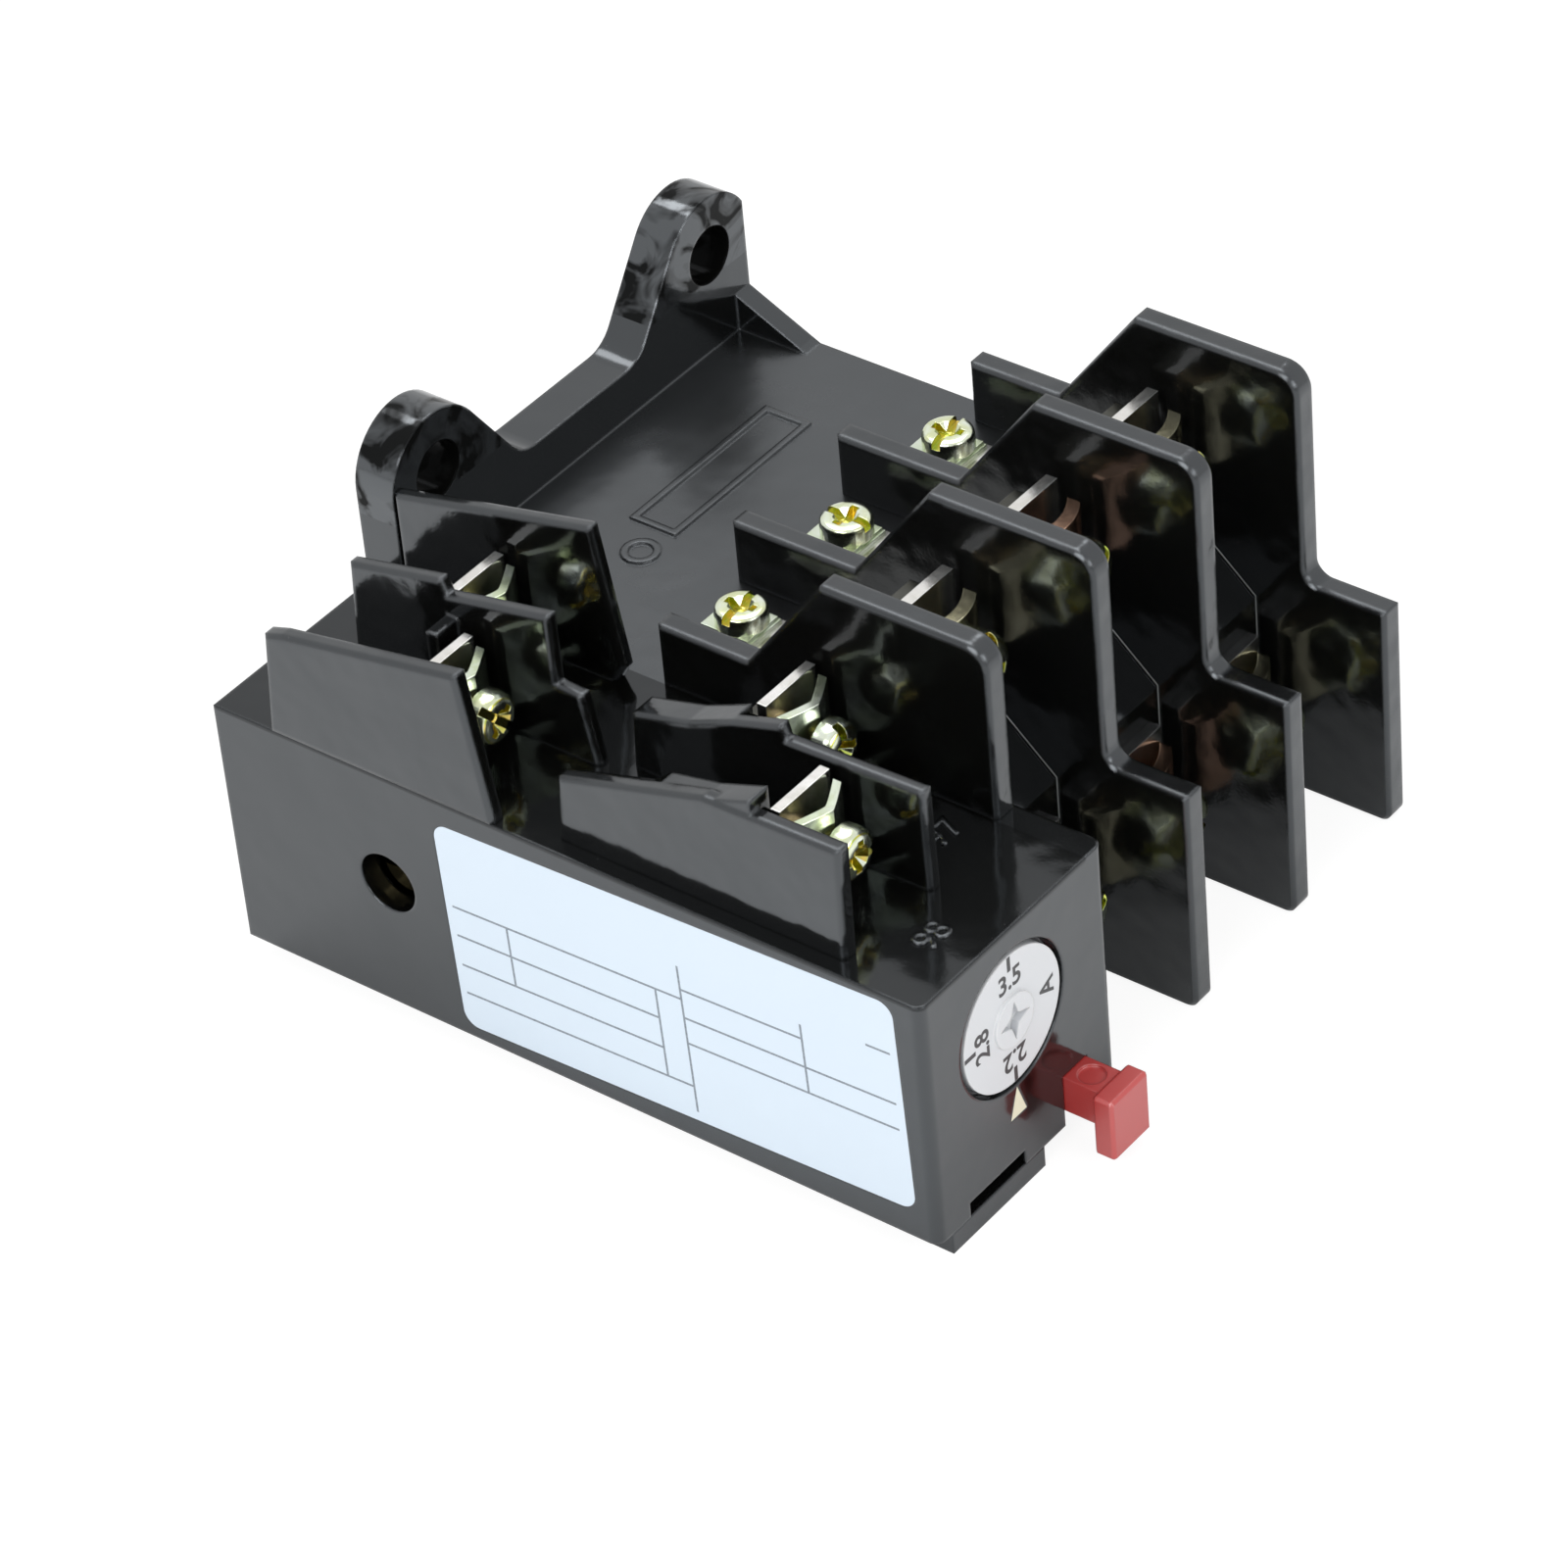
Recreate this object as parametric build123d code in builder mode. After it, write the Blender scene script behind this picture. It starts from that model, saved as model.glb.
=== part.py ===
"""Three-pole thermal overload relay with a setting dial, a reset button and four auxiliary terminals."""

import os
from math import cos, pi, radians, sin

from build123d import *

os.makedirs("parts", exist_ok=True)

# Driving sizes of the moulding. X runs from the mounting plane to the dial face, Y from the label face
# across the poles, and Z from the underside up.
body_depth = 78.4
pole_count = 3
pole_pitch = 15.6
barrier_thickness = 2.6
control_width = 23.8
deck_height = 28.8
cover_thickness = 2.2
side_wall = 2.4
front_wall = 4.0
back_wall = 4.5
roof = 2.4
running_gap = 0.1
fit_gap = 0.05

# Pole block front and the slope between the two rows of main terminals
pole_depth = 63.7
slope_start = 54.9
slope_foot_height = 20.6

# Barriers between the poles
low_wall_start_inner = 28.6
low_wall_start_outer = 32.3
low_wall_height = 35.2
rise_start = 42.4
rise_end = 51.4
barrier_height = 47.0
barrier_nose = 69.1
step_height = 24.2
step_reach = 77.8
nose_radius = 2.4
step_radius = 1.7
barrier_toe_radius = 1.2
edge_round = 0.35
slope_inset = 0.4

# Mounting wall and ears
wall_top = 33.8
ear_spacing = 40.0
ear_hole_height = 39.1
ear_hole_radius = 2.9
ear_radius = 6.2
ear_flank_angle = 35.0
ear_valley_radius = 4.0
gusset_reach = 8.1
gusset_rise = 3.9
gusset_thickness = 2.2

# Main terminals
main_plate_width = 10.2
main_plate_thickness = 1.2
main_screw_radius = 2.0
main_head_radius = 3.4
main_head_height = 2.6
main_saddle_width = 9.4
main_saddle_height = 8.0
main_saddle_rise = 2.2
saddle_thickness = 1.0
main_saddle_bends = 4
upper_open_gap = 0.8
lock_washer_thickness = 0.9
upper_screw_height = 36.2
upper_plate_top = 41.3
lower_screw_height = 12.2
lower_plate_top = 17.6
lower_plate_bottom = 5.6
terminal_strip_width = 5.6
deck_screw_distance = 34.5
deck_screw_radius = 1.4
deck_head_radius = 2.5
deck_head_height = 1.9
square_washer_size = 6.2
square_washer_thickness = 0.7
nut_size = 7.0
nut_thickness = 2.4
insert_radius = 3.0
insert_length = 6.0
fastener_sides = 16
head_straight_share = 0.6
head_top_share = 0.7

# Auxiliary terminals, each at a distance from the mounting plane and from the label face
aux_plate_width = 7.0
aux_plate_thickness = 1.0
aux_screw_above_deck = 5.6
aux_plate_above_deck = 10.5
aux_screw_radius = 1.5
aux_head_radius = 2.5
aux_head_height = 2.2
aux_saddle_width = 6.4
aux_saddle_height = 6.0
aux_saddle_rise = 1.5
aux_saddle_bends = 2
aux_open_gap = 0.8
aux_nut_size = 5.4
aux_nut_thickness = 1.8
rear_near_distance = 23.2
rear_far_distance = 17.9
front_near_distance = 61.0
front_far_distance = 51.2
aux_leg_depth = 4.6
aux_finger = 1.2

# Partitions beside the auxiliary terminals
partition_thickness = 1.8
thin_partition = 1.6
rear_middle_place = 0.479 * control_width
rear_inner_place = 0.9076 * control_width
front_outer_place = 1.8
front_middle_place = 0.5462 * control_width
guide_thickness = 3.0
guide_rib = 1.2
guide_nut_gap = 0.5

# Setting dial
dial_place = 0.5126 * control_width
dial_height = 19.1
dial_radius = 6.9
dial_recess_depth = 1.5
dial_rim_gap = 0.55
pointer_gap = 0.7
hub_radius = 2.7
hub_rise = 0.35
star_tip_radius = 2.1
star_waist_radius = 0.8
star_depth = 0.9
spindle_radius = 2.2
cam_radius = 4.5
cam_offset = 0.8
cam_thickness = 2.6
friction_washer_thickness = 0.8
clip_thickness = 0.7
clip_mouth_half = 1.3
pointer_width = 2.3
pointer_height = 3.2
pointer_depth = 0.5

# Reset button
button_from_barrier = 3.4
button_height = 5.8
stem_width = 3.4
stem_height = 3.8
head_width = 5.5
head_height = 6.6
head_rise = 0.3
head_thickness = 2.2
button_reach = 5.9
button_travel = 2.5
rod_radius = 1.5
rod_tail = 57.2
stem_back = 66.0
guide_rib_distance = 59.4
stem_collar = 0.6
collar_thickness = 1.2
head_bevel = 0.3
thumb_mark_radius = 1.3
spring_clearance = 0.2
spring_wire = 0.5
spring_wire_sides = 4
spring_turns = 3

# Reset mode screw behind the hole in the label face
mode_distance = 18.6
mode_height = 16.4
access_hole_radius = 3.1
mode_head_radius = 2.6
mode_head_height = 1.8
mode_shank_radius = 1.5
mode_boss_near = 8.0
mode_boss_far = 12.0
mode_boss_radius = 3.4
mode_screw_end = 15.0
mode_slot_width = 1.0

# Label in its shallow pocket
label_distance = 50.6
label_height = 15.7
label_length = 50.4
label_width = 22.8
label_tilt = 2.2
label_corner = 1.6
label_thickness = 0.15

# Bimetals, heaters and the two bars that they push
bimetal_width = 6.0
bimetal_thickness = 1.0
bimetal_offset = 2.4
bimetal_top = 25.0
bimetal_bottom = 3.6
bracket_thickness = 1.2
bracket_drop = 4.4
heater_turns = 4
heater_turn_height = 1.4
heater_turn_pitch = 2.6
heater_ribbon = 0.8
heater_bottom = 9.6
heater_side_room = 0.65
heater_swing_room = 1.7
heater_shift = 0.5
heater_lead_width = 2.0
heater_lead_overlap = 2.0
bar_width = 11.0
bar_thickness = 1.4
push_bar_height = 4.4
bar_spacing = 2.0
bar_end_room = 1.0
bar_nose_width = 4.0
bar_nose_length = 3.0
differential_bar_reach = 4.0
slot_play = 0.3
push_gap = 0.2

# Trip lever
trip_pivot_distance = 46.0
trip_pivot_place = 10.5
pin_radius = 1.0
trip_hub_radius = 3.0
trip_lever_bottom = 8.2
trip_lever_top = 12.8
compensator_thickness = 0.8
compensator_place = 14.6
compensator_clamp_near = 2.5
compensator_clamp_far = 4.5
contact_arm_length = 10.0
contact_arm_width = 1.8
contact_length = 3.2
contact_thickness = 2.0
contact_gap = 1.45
contact_finger = 1.2
pin_head_radius = 2.0
pin_head_height = 1.0
pin_depth = 9.5

# Adjusting lever under the cam
adjuster_pivot_distance = 64.6
adjuster_pivot_height = 9.6
adjuster_width = 6.4
adjuster_thickness = 2.2
adjuster_hub_radius = 2.2
cheek_below_pin = 0.7
front_corner_radius = 1.05
cam_gap = 0.15

# Cover, its window and its screws
cover_inset = 1.9
tongue_width = 13.5
window_place = 4.6
window_width = 8.1
window_height = 1.6
cover_screw_radius = 1.25
cover_head_radius = 2.1
cover_head_height = 1.3
cover_boss_radius = 2.6
cover_boss_height = 9.0
cover_boss_sink = 0.6

# Raised marks on the deck
frame_distance = 14.5
frame_place = 41.6
frame_length = 20.6
frame_width = 5.4
frame_line = 0.7
mark_rise = 0.25
ring_distance = 18.6
ring_place = 38.1
ring_radius = 1.9

# Stations worked out from the driving sizes, with the origin below the middle of the relay
overall_length = body_depth + button_reach
overall_width = control_width + pole_count * pole_pitch + barrier_thickness
x_back = -overall_length / 2
y_side = -overall_width / 2
x_front = x_back + body_depth
y_far = y_side + overall_width
y_control = y_side + control_width
y_control_far = y_control + barrier_thickness
x_pole = x_back + pole_depth
x_slope = x_back + slope_start
z_floor = cover_thickness
z_roof = deck_height - roof
bay_width = pole_pitch - barrier_thickness
head_back_gap = button_reach - head_thickness


def barrier_y(index):
    """Near face of a barrier, counted from the control side."""
    return y_control + index * pole_pitch


def pole_y(index):
    """Middle of the bay of a pole."""
    return barrier_y(index) + barrier_thickness + bay_width / 2


def along_x(x):
    """Plane across X, whose sketch axes are Y and Z."""
    return Plane.YZ.offset(x)


def across_x(x, y, z):
    """Plane across X with its origin at a point."""
    return Plane(origin=(x, y, z), x_dir=(0, 1, 0), z_dir=(1, 0, 0))


def facing_y(y):
    """Plane across Y, whose sketch axes are X and Z, and whose extrusions run towards the label face."""
    return Plane.XZ.offset(-y)


def block(x_range, y_range, z_range, mode=Mode.ADD):
    """Straight block between three pairs of stations."""
    low = (min(x_range), min(y_range), min(z_range))
    size = [abs(a - b) for a, b in (x_range, y_range, z_range)]
    with Locations(low):
        Box(*size, align=(Align.MIN, Align.MIN, Align.MIN), mode=mode)


def round_bar(plane, radius, length, mode=Mode.ADD):
    """Cylinder that starts on a plane and runs along its normal."""
    with BuildSketch(plane) as section:
        Circle(radius)
    extrude(section.sketch, amount=length, mode=mode)


def fastener_bar(plane, radius, length, mode=Mode.ADD):
    """Round bar or bore of a small fixed fastener, drawn with flats that keep its mesh light."""
    with BuildSketch(plane) as section:
        RegularPolygon(radius, fastener_sides)
    extrude(section.sketch, amount=length, mode=mode)


def plate(y, thickness, points, mode=Mode.ADD):
    """Upright plate across Y, from its near face, with an outline in X and Z."""
    with BuildSketch(facing_y(y + thickness)) as outline:
        with BuildLine():
            Polyline(*points, close=True)
        make_face()
    extrude(outline.sketch, amount=thickness, mode=mode)


# Bays of the auxiliary terminals between their partitions
rear_outer_face = y_side + partition_thickness
rear_middle_y = y_side + rear_middle_place
rear_inner_y = y_side + rear_inner_place
front_outer_y = y_side + front_outer_place
front_middle_y = y_side + front_middle_place
rear_near_y = (rear_outer_face + rear_middle_y) / 2
rear_far_y = (rear_middle_y + thin_partition + rear_inner_y) / 2
front_near_y = (front_outer_y + partition_thickness + front_middle_y) / 2
front_far_y = (front_middle_y + thin_partition + y_control) / 2
aux_places = {
    "aux_terminal_rear_near": (x_back + rear_near_distance, rear_near_y),
    "aux_terminal_rear_far": (x_back + rear_far_distance, rear_far_y),
    "aux_terminal_front_far": (x_back + front_far_distance, front_far_y),
    "aux_terminal_front_near": (x_back + front_near_distance, front_near_y),
}
aux_screw_z = deck_height + aux_screw_above_deck
aux_plate_top = deck_height + aux_plate_above_deck
y_dial = y_side + dial_place
y_button = y_control - button_from_barrier
ear_places = [rear_inner_y + ear_radius, rear_inner_y + ear_radius + ear_spacing]
x_deck_screw = x_back + deck_screw_distance
push_bar_z = push_bar_height
differential_bar_z = push_bar_z + bar_spacing
x_bar = (x_deck_screw - bar_width / 2, x_deck_screw + bar_width / 2)
x_trip = x_back + trip_pivot_distance
y_trip = y_side + trip_pivot_place
x_adjuster = x_back + adjuster_pivot_distance
x_mode = x_back + mode_distance
boss_room = cover_boss_radius - cover_boss_sink
cover_screw_spots = [
    (x_back + back_wall + boss_room, y_side + side_wall + boss_room),
    (x_back + back_wall + boss_room, y_far - barrier_thickness - boss_room),
    (x_trip - cover_boss_radius, y_side + side_wall + boss_room),
]


def pole_profile(inset, z_bottom, x_start):
    """Outline in X and Z of the pole block, or of the chamber inside it when an inset is given."""
    return [
        (x_start, z_bottom),
        (x_pole - inset, z_bottom),
        (x_pole - inset, slope_foot_height - inset * slope_inset),
        (x_slope - inset * slope_inset, deck_height - inset),
        (x_start, deck_height - inset),
    ]


# Main housing: control block, pole block, mounting wall with its ears
with BuildPart() as main_housing:
    plate(y_side, overall_width, pole_profile(0, z_floor, x_back))
    block((x_back, x_front), (y_side, y_control_far), (z_floor, deck_height))
    fillet(main_housing.edges().filter_by(Axis.Z).group_by(Axis.X)[-1], front_corner_radius)

    # Mounting wall, whose ears rise from flanks that end in a hollow curve
    flank = radians(ear_flank_angle)
    with BuildSketch(along_x(x_back)) as wall_face:
        with Locations(((rear_inner_y + y_far) / 2, (z_floor + wall_top) / 2)):
            Rectangle(y_far - rear_inner_y, wall_top - z_floor)
        for ear_y, inward in zip(ear_places, (1, -1)):
            with Locations((ear_y, ear_hole_height)):
                Circle(ear_radius)
            tangent_y = ear_y + inward * ear_radius * cos(flank)
            tangent_z = ear_hole_height + ear_radius * sin(flank)
            foot_y = tangent_y + inward * (tangent_z - wall_top) * sin(flank) / cos(flank)
            outer_y = ear_y - inward * ear_radius
            with BuildLine():
                Polyline(
                    (outer_y, ear_hole_height),
                    (ear_y, ear_hole_height),
                    (tangent_y, tangent_z),
                    (foot_y, wall_top),
                    (foot_y, wall_top - roof),
                    (outer_y, wall_top - roof),
                    close=True,
                )
            make_face()
        with Locations(((rear_inner_y + y_far) / 2, (z_floor + barrier_height) / 2)):
            Rectangle(y_far - rear_inner_y, barrier_height - z_floor, mode=Mode.INTERSECT)
        valley = [
            corner
            for corner in wall_face.vertices()
            if abs(corner.Y - wall_top) < fit_gap and ear_places[0] < corner.X < ear_places[1]
        ]
        fillet(valley, ear_valley_radius)
    extrude(amount=back_wall)
    for ear_y in ear_places:
        with BuildSketch(along_x(x_back)):
            with Locations((ear_y, ear_hole_height)):
                Circle(ear_hole_radius)
        extrude(amount=back_wall, mode=Mode.SUBTRACT)
    plate(
        y_far - gusset_thickness,
        gusset_thickness,
        [
            (x_back + back_wall, deck_height),
            (x_back + back_wall + gusset_reach, deck_height),
            (x_back + back_wall, deck_height + gusset_rise),
        ],
    )

    # Chambers for the control parts and for each pole, open below
    block(
        (x_back + back_wall, x_front - front_wall),
        (y_side + side_wall, y_control),
        (z_floor, z_roof),
        mode=Mode.SUBTRACT,
    )
    for pole in range(pole_count):
        plate(
            barrier_y(pole) + barrier_thickness,
            bay_width,
            pole_profile(roof, z_floor, x_back + back_wall),
            mode=Mode.SUBTRACT,
        )

    # Windows that guide the two bars through the partitions
    for pole in range(pole_count):
        block(
            (x_bar[0] - running_gap, x_bar[1] + running_gap),
            (barrier_y(pole), barrier_y(pole) + barrier_thickness),
            (push_bar_z - running_gap, differential_bar_z + bar_thickness + running_gap),
            mode=Mode.SUBTRACT,
        )

    # Dial recess, spindle bore, pointer pocket, button notch and cover window in the front wall
    round_bar(
        across_x(x_front - dial_recess_depth, y_dial, dial_height),
        dial_radius + dial_rim_gap,
        dial_recess_depth,
        mode=Mode.SUBTRACT,
    )
    round_bar(
        across_x(x_front - front_wall, y_dial, dial_height),
        spindle_radius + fit_gap,
        front_wall,
        mode=Mode.SUBTRACT,
    )
    pointer_top = dial_height - dial_radius - pointer_gap
    with BuildSketch(along_x(x_front - pointer_depth)):
        with BuildLine():
            Polyline(
                (y_dial, pointer_top),
                (y_dial - pointer_width / 2, pointer_top - pointer_height),
                (y_dial + pointer_width / 2, pointer_top - pointer_height),
                close=True,
            )
        make_face()
    extrude(amount=pointer_depth, mode=Mode.SUBTRACT)
    block(
        (x_front - front_wall, x_front),
        (y_button - stem_width / 2 - running_gap, y_button + stem_width / 2 + running_gap),
        (z_floor, button_height + stem_height / 2 + running_gap),
        mode=Mode.SUBTRACT,
    )
    block(
        (x_front - front_wall, x_front),
        (y_side + window_place, y_side + window_place + window_width),
        (z_floor, z_floor + window_height),
        mode=Mode.SUBTRACT,
    )

    # Access hole and inner boss of the reset mode screw
    round_bar(
        Plane(origin=(x_mode, y_side + side_wall, mode_height), z_dir=(0, -1, 0)),
        access_hole_radius,
        side_wall,
        mode=Mode.SUBTRACT,
    )
    block(
        (x_mode - mode_boss_radius, x_mode + mode_boss_radius),
        (y_side + mode_boss_near, y_side + mode_boss_far),
        (mode_height - mode_boss_radius, z_roof),
    )
    round_bar(
        Plane(origin=(x_mode, y_side + mode_boss_far, mode_height), z_dir=(0, -1, 0)),
        mode_shank_radius + fit_gap,
        mode_boss_far - mode_boss_near,
        mode=Mode.SUBTRACT,
    )

    # Rib that guides the tail of the reset rod
    rib_back = x_back + guide_rib_distance - side_wall
    block(
        (rib_back, x_back + guide_rib_distance),
        (y_button - rod_radius - side_wall, y_control),
        (z_floor, z_roof),
    )
    round_bar(
        across_x(rib_back, y_button, button_height),
        rod_radius + running_gap,
        side_wall,
        mode=Mode.SUBTRACT,
    )

    # Boss over the trip lever and cheeks for the pin of the adjusting lever
    with BuildSketch(Plane.XY.offset(trip_lever_top + running_gap)):
        with Locations((x_trip, y_trip)):
            Circle(trip_hub_radius)
            Circle(pin_radius, mode=Mode.SUBTRACT)
    extrude(amount=z_roof - trip_lever_top - running_gap)
    cheek_gap = adjuster_width / 2 + running_gap * 2
    for cheek_y in (y_dial - cheek_gap - side_wall / 2, y_dial + cheek_gap + side_wall / 2):
        block(
            (x_adjuster - adjuster_hub_radius, x_adjuster + adjuster_hub_radius),
            (cheek_y - side_wall / 2, cheek_y + side_wall / 2),
            (adjuster_pivot_height - pin_radius - cheek_below_pin, z_roof),
        )
        round_bar(
            Plane(origin=(x_adjuster, cheek_y + side_wall / 2, adjuster_pivot_height), z_dir=(0, -1, 0)),
            pin_radius,
            side_wall,
            mode=Mode.SUBTRACT,
        )

    # Bosses for the cover screws, from the roof to the floor
    for spot_x, spot_y in cover_screw_spots:
        foot = Plane(origin=(spot_x, spot_y, z_floor))
        fastener_bar(foot, cover_boss_radius, z_roof - z_floor)
        fastener_bar(foot, cover_screw_radius, cover_boss_height, mode=Mode.SUBTRACT)

    # Holes for the deck screws, the terminal strips and the inserts of the lower terminals
    for pole in range(pole_count):
        under_screw = Plane(origin=(x_deck_screw, pole_y(pole), z_roof))
        fastener_bar(under_screw, deck_screw_radius, roof, mode=Mode.SUBTRACT)
        block(
            (x_pole - roof, x_pole),
            (pole_y(pole) - terminal_strip_width / 2, pole_y(pole) + terminal_strip_width / 2),
            (lower_plate_bottom, lower_plate_bottom + main_plate_thickness),
            mode=Mode.SUBTRACT,
        )
        insert_back = across_x(x_pole - insert_length, pole_y(pole), lower_screw_height)
        fastener_bar(insert_back, insert_radius + side_wall / 2, insert_length - roof / 2)
        fastener_bar(insert_back, insert_radius, insert_length, mode=Mode.SUBTRACT)
    for place_x, place_y in aux_places.values():
        block(
            (place_x - aux_plate_thickness, place_x),
            (place_y - aux_plate_width / 2, place_y + aux_plate_width / 2),
            (z_roof, deck_height),
            mode=Mode.SUBTRACT,
        )

    # Pocket of the label, and the raised frame and ring on the deck
    with BuildSketch(facing_y(y_side + label_thickness)):
        with Locations(Location((x_back + label_distance, label_height), label_tilt)):
            RectangleRounded(label_length, label_width, label_corner)
    extrude(amount=label_thickness, mode=Mode.SUBTRACT)
    frame_middle = (x_back + frame_distance + frame_width / 2, y_side + frame_place + frame_length / 2)
    with BuildSketch(Plane.XY.offset(deck_height)):
        with Locations(frame_middle):
            Rectangle(frame_width, frame_length)
            Rectangle(frame_width - 2 * frame_line, frame_length - 2 * frame_line, mode=Mode.SUBTRACT)
        with Locations((x_back + ring_distance, y_side + ring_place)):
            RegularPolygon(ring_radius, fastener_sides)
            RegularPolygon(ring_radius - frame_line, fastener_sides, mode=Mode.SUBTRACT)
    extrude(amount=mark_rise)

main_housing.part.label = "main_housing"
export_step(main_housing.part, "parts/main_housing.step")


def corners_at(sketch, *points):
    """Corners of a sketch that lie at the given points."""
    return [
        corner
        for corner in sketch.vertices()
        if any(abs(corner.X - x) < fit_gap and abs(corner.Y - z) < fit_gap for x, z in points)
    ]


# Barriers: a low wall on the deck that rises to a nose, with a boot down the front of the pole block
with BuildPart() as phase_barriers:
    for index in range(pole_count + 1):
        outer = index in (0, pole_count)
        x_low = x_back + (low_wall_start_outer if outer else low_wall_start_inner)
        nose = (x_back + barrier_nose, barrier_height)
        inner_corner = (x_back + barrier_nose, step_height)
        step_corner = (x_back + step_reach, step_height)
        toe = (x_back + step_reach, 0)
        slope_top = (x_slope, deck_height)
        crest = [
            (x_low, deck_height),
            (x_low, low_wall_height),
            (x_back + rise_start, low_wall_height),
            (x_back + rise_end, barrier_height),
            nose,
        ]
        boot = [inner_corner, step_corner, toe, (x_pole, 0), (x_pole, slope_foot_height), slope_top]
        on_deck = [(x_back + barrier_nose, deck_height)]
        with BuildSketch(facing_y(barrier_y(index) + barrier_thickness)) as outline:
            with BuildLine():
                Polyline(*crest, *(on_deck if index == 0 else boot), close=True)
            make_face()
            fillet(corners_at(outline, nose), nose_radius)
            if index > 0:
                fillet(corners_at(outline, inner_corner), step_radius)
                fillet(corners_at(outline, toe), barrier_toe_radius)
        extrude(amount=barrier_thickness)
    rims = phase_barriers.faces().filter_by(Axis.Y).edges()
    above = deck_height + edge_round
    ahead = x_pole + edge_round
    chamfer([rim for rim in rims if rim.center().Z > above or rim.center().X > ahead], edge_round)
phase_barriers.part.label = "phase_barriers"
export_step(phase_barriers.part, "parts/phase_barriers.step")

# Partitions beside the auxiliary terminals, whose rear tops slope up towards the terminals
rear_outer_outline = [(6.6, 0), (7.6, 10.9), (9.7, 11.6), (29.9, 15.3), (32.3, 0)]
rear_middle_top = [(7.2, 0), (7.9, 11.6), (18.6, 13.9), (19.2, 12.4), (30.9, 14.7)]
rear_middle_outline = [*rear_middle_top, (31.0, 7.4), (33.8, 7.2), (35.2, 0)]
rear_inner_outline = [(back_wall, 0), (back_wall, 11.4), (27.6, 16.6), (30.0, 2.0), (28.8, 0)]
front_outer_outline = [(38.2, 0), (38.8, 6.9), (55.0, 11.6), (69.5, 11.9), (69.3, 0)]
front_middle_rise = [(37.6, 0), (38.0, 6.0), (44.3, 7.7), (49.4, 9.9)]
front_middle_outline = [*front_middle_rise, (54.8, 11.6), (55.2, 10.2), (69.8, 10.7), (70.0, 0)]
front_outer_guide = [(40.5, 0), (40.8, 6.4), (47.5, 8.4), (49.5, 10.0), (55.0, 11.2), (60.0, 13.0), (60.0, 0)]
front_middle_guide = [*front_middle_rise, (49.4, 0)]


def above_deck(outline):
    """Outline given from the mounting plane and the deck, moved to its place."""
    return [(x_back + distance, deck_height + height) for distance, height in outline]


with BuildPart() as aux_partitions:
    plate(y_side, partition_thickness, above_deck(rear_outer_outline))
    plate(rear_middle_y, thin_partition, above_deck(rear_middle_outline))
    plate(rear_inner_y, thin_partition, above_deck(rear_inner_outline))
    plate(front_outer_y, partition_thickness, above_deck(front_outer_outline))
    plate(front_middle_y, thin_partition, above_deck(front_middle_outline))
    rims = aux_partitions.faces().filter_by(Axis.Y).edges()
    chamfer([rim for rim in rims if rim.center().Z > deck_height + edge_round], edge_round)
    for guide_y, nut_y, outline in (
        (front_outer_y + edge_round, front_near_y, front_outer_guide),
        (front_middle_y + edge_round, front_far_y, front_middle_guide),
    ):
        guide_end = min(guide_y + guide_thickness - edge_round, nut_y - aux_nut_size / 2 - guide_nut_gap)
        plate(guide_y, guide_end - guide_y, above_deck(outline))
    rib_front = x_back + rear_near_distance - aux_plate_thickness - aux_nut_thickness
    rib_x = (rib_front - guide_rib, rib_front)
    rib_z = (deck_height, deck_height + aux_plate_above_deck)
    block(rib_x, (rear_outer_face, rear_outer_face + guide_thickness), rib_z)
    block(rib_x, (rear_middle_y - guide_thickness, rear_middle_y), rib_z)
aux_partitions.part.label = "aux_partitions"
export_step(aux_partitions.part, "parts/aux_partitions.step")

# Bottom cover with its tongue under the dial face, and the catch inside the window
with BuildPart() as bottom_cover:
    cover_y = (y_side + cover_inset, y_far - cover_inset)
    with BuildSketch(Plane.XY):
        with BuildLine():
            Polyline(
                (x_back + cover_inset, cover_y[0]),
                (x_front, cover_y[0]),
                (x_front, cover_y[0] + tongue_width),
                (x_front - front_wall - cover_inset, cover_y[0] + tongue_width),
                (x_front - front_wall - cover_inset, y_control_far - cover_inset),
                (x_pole - cover_inset, y_control_far - cover_inset),
                (x_pole - cover_inset, cover_y[1]),
                (x_back + cover_inset, cover_y[1]),
                close=True,
            )
        make_face()
    extrude(amount=cover_thickness)
    block(
        (x_front - front_wall, x_front - front_wall / 2),
        (y_side + window_place + running_gap, y_side + window_place + window_width - running_gap),
        (cover_thickness, cover_thickness + window_height - running_gap * 2),
    )
    for spot_x, spot_y in cover_screw_spots:
        spot = Plane(origin=(spot_x, spot_y, 0))
        fastener_bar(spot, cover_screw_radius, cover_thickness, mode=Mode.SUBTRACT)
        fastener_bar(spot, cover_head_radius + running_gap, cover_head_height, mode=Mode.SUBTRACT)
bottom_cover.part.label = "bottom_cover"
export_step(bottom_cover.part, "parts/bottom_cover.step")

with BuildPart() as cover_screws:
    for spot_x, spot_y in cover_screw_spots:
        spot = Plane(origin=(spot_x, spot_y, fit_gap))
        fastener_bar(spot, cover_head_radius, cover_head_height - fit_gap)
        fastener_bar(spot, cover_screw_radius - fit_gap, cover_head_height + cover_boss_height)
cover_screws.part.label = "cover_screws"
export_step(cover_screws.part, "parts/cover_screws.step")

# Label sheet in its pocket on the label face
with BuildPart() as rating_label:
    with BuildSketch(facing_y(y_side + label_thickness)):
        with Locations(Location((x_back + label_distance, label_height), label_tilt)):
            RectangleRounded(label_length - fit_gap, label_width - fit_gap, label_corner)
    extrude(amount=label_thickness)
rating_label.part.label = "rating_label"
export_step(rating_label.part, "parts/rating_label.step")

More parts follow.
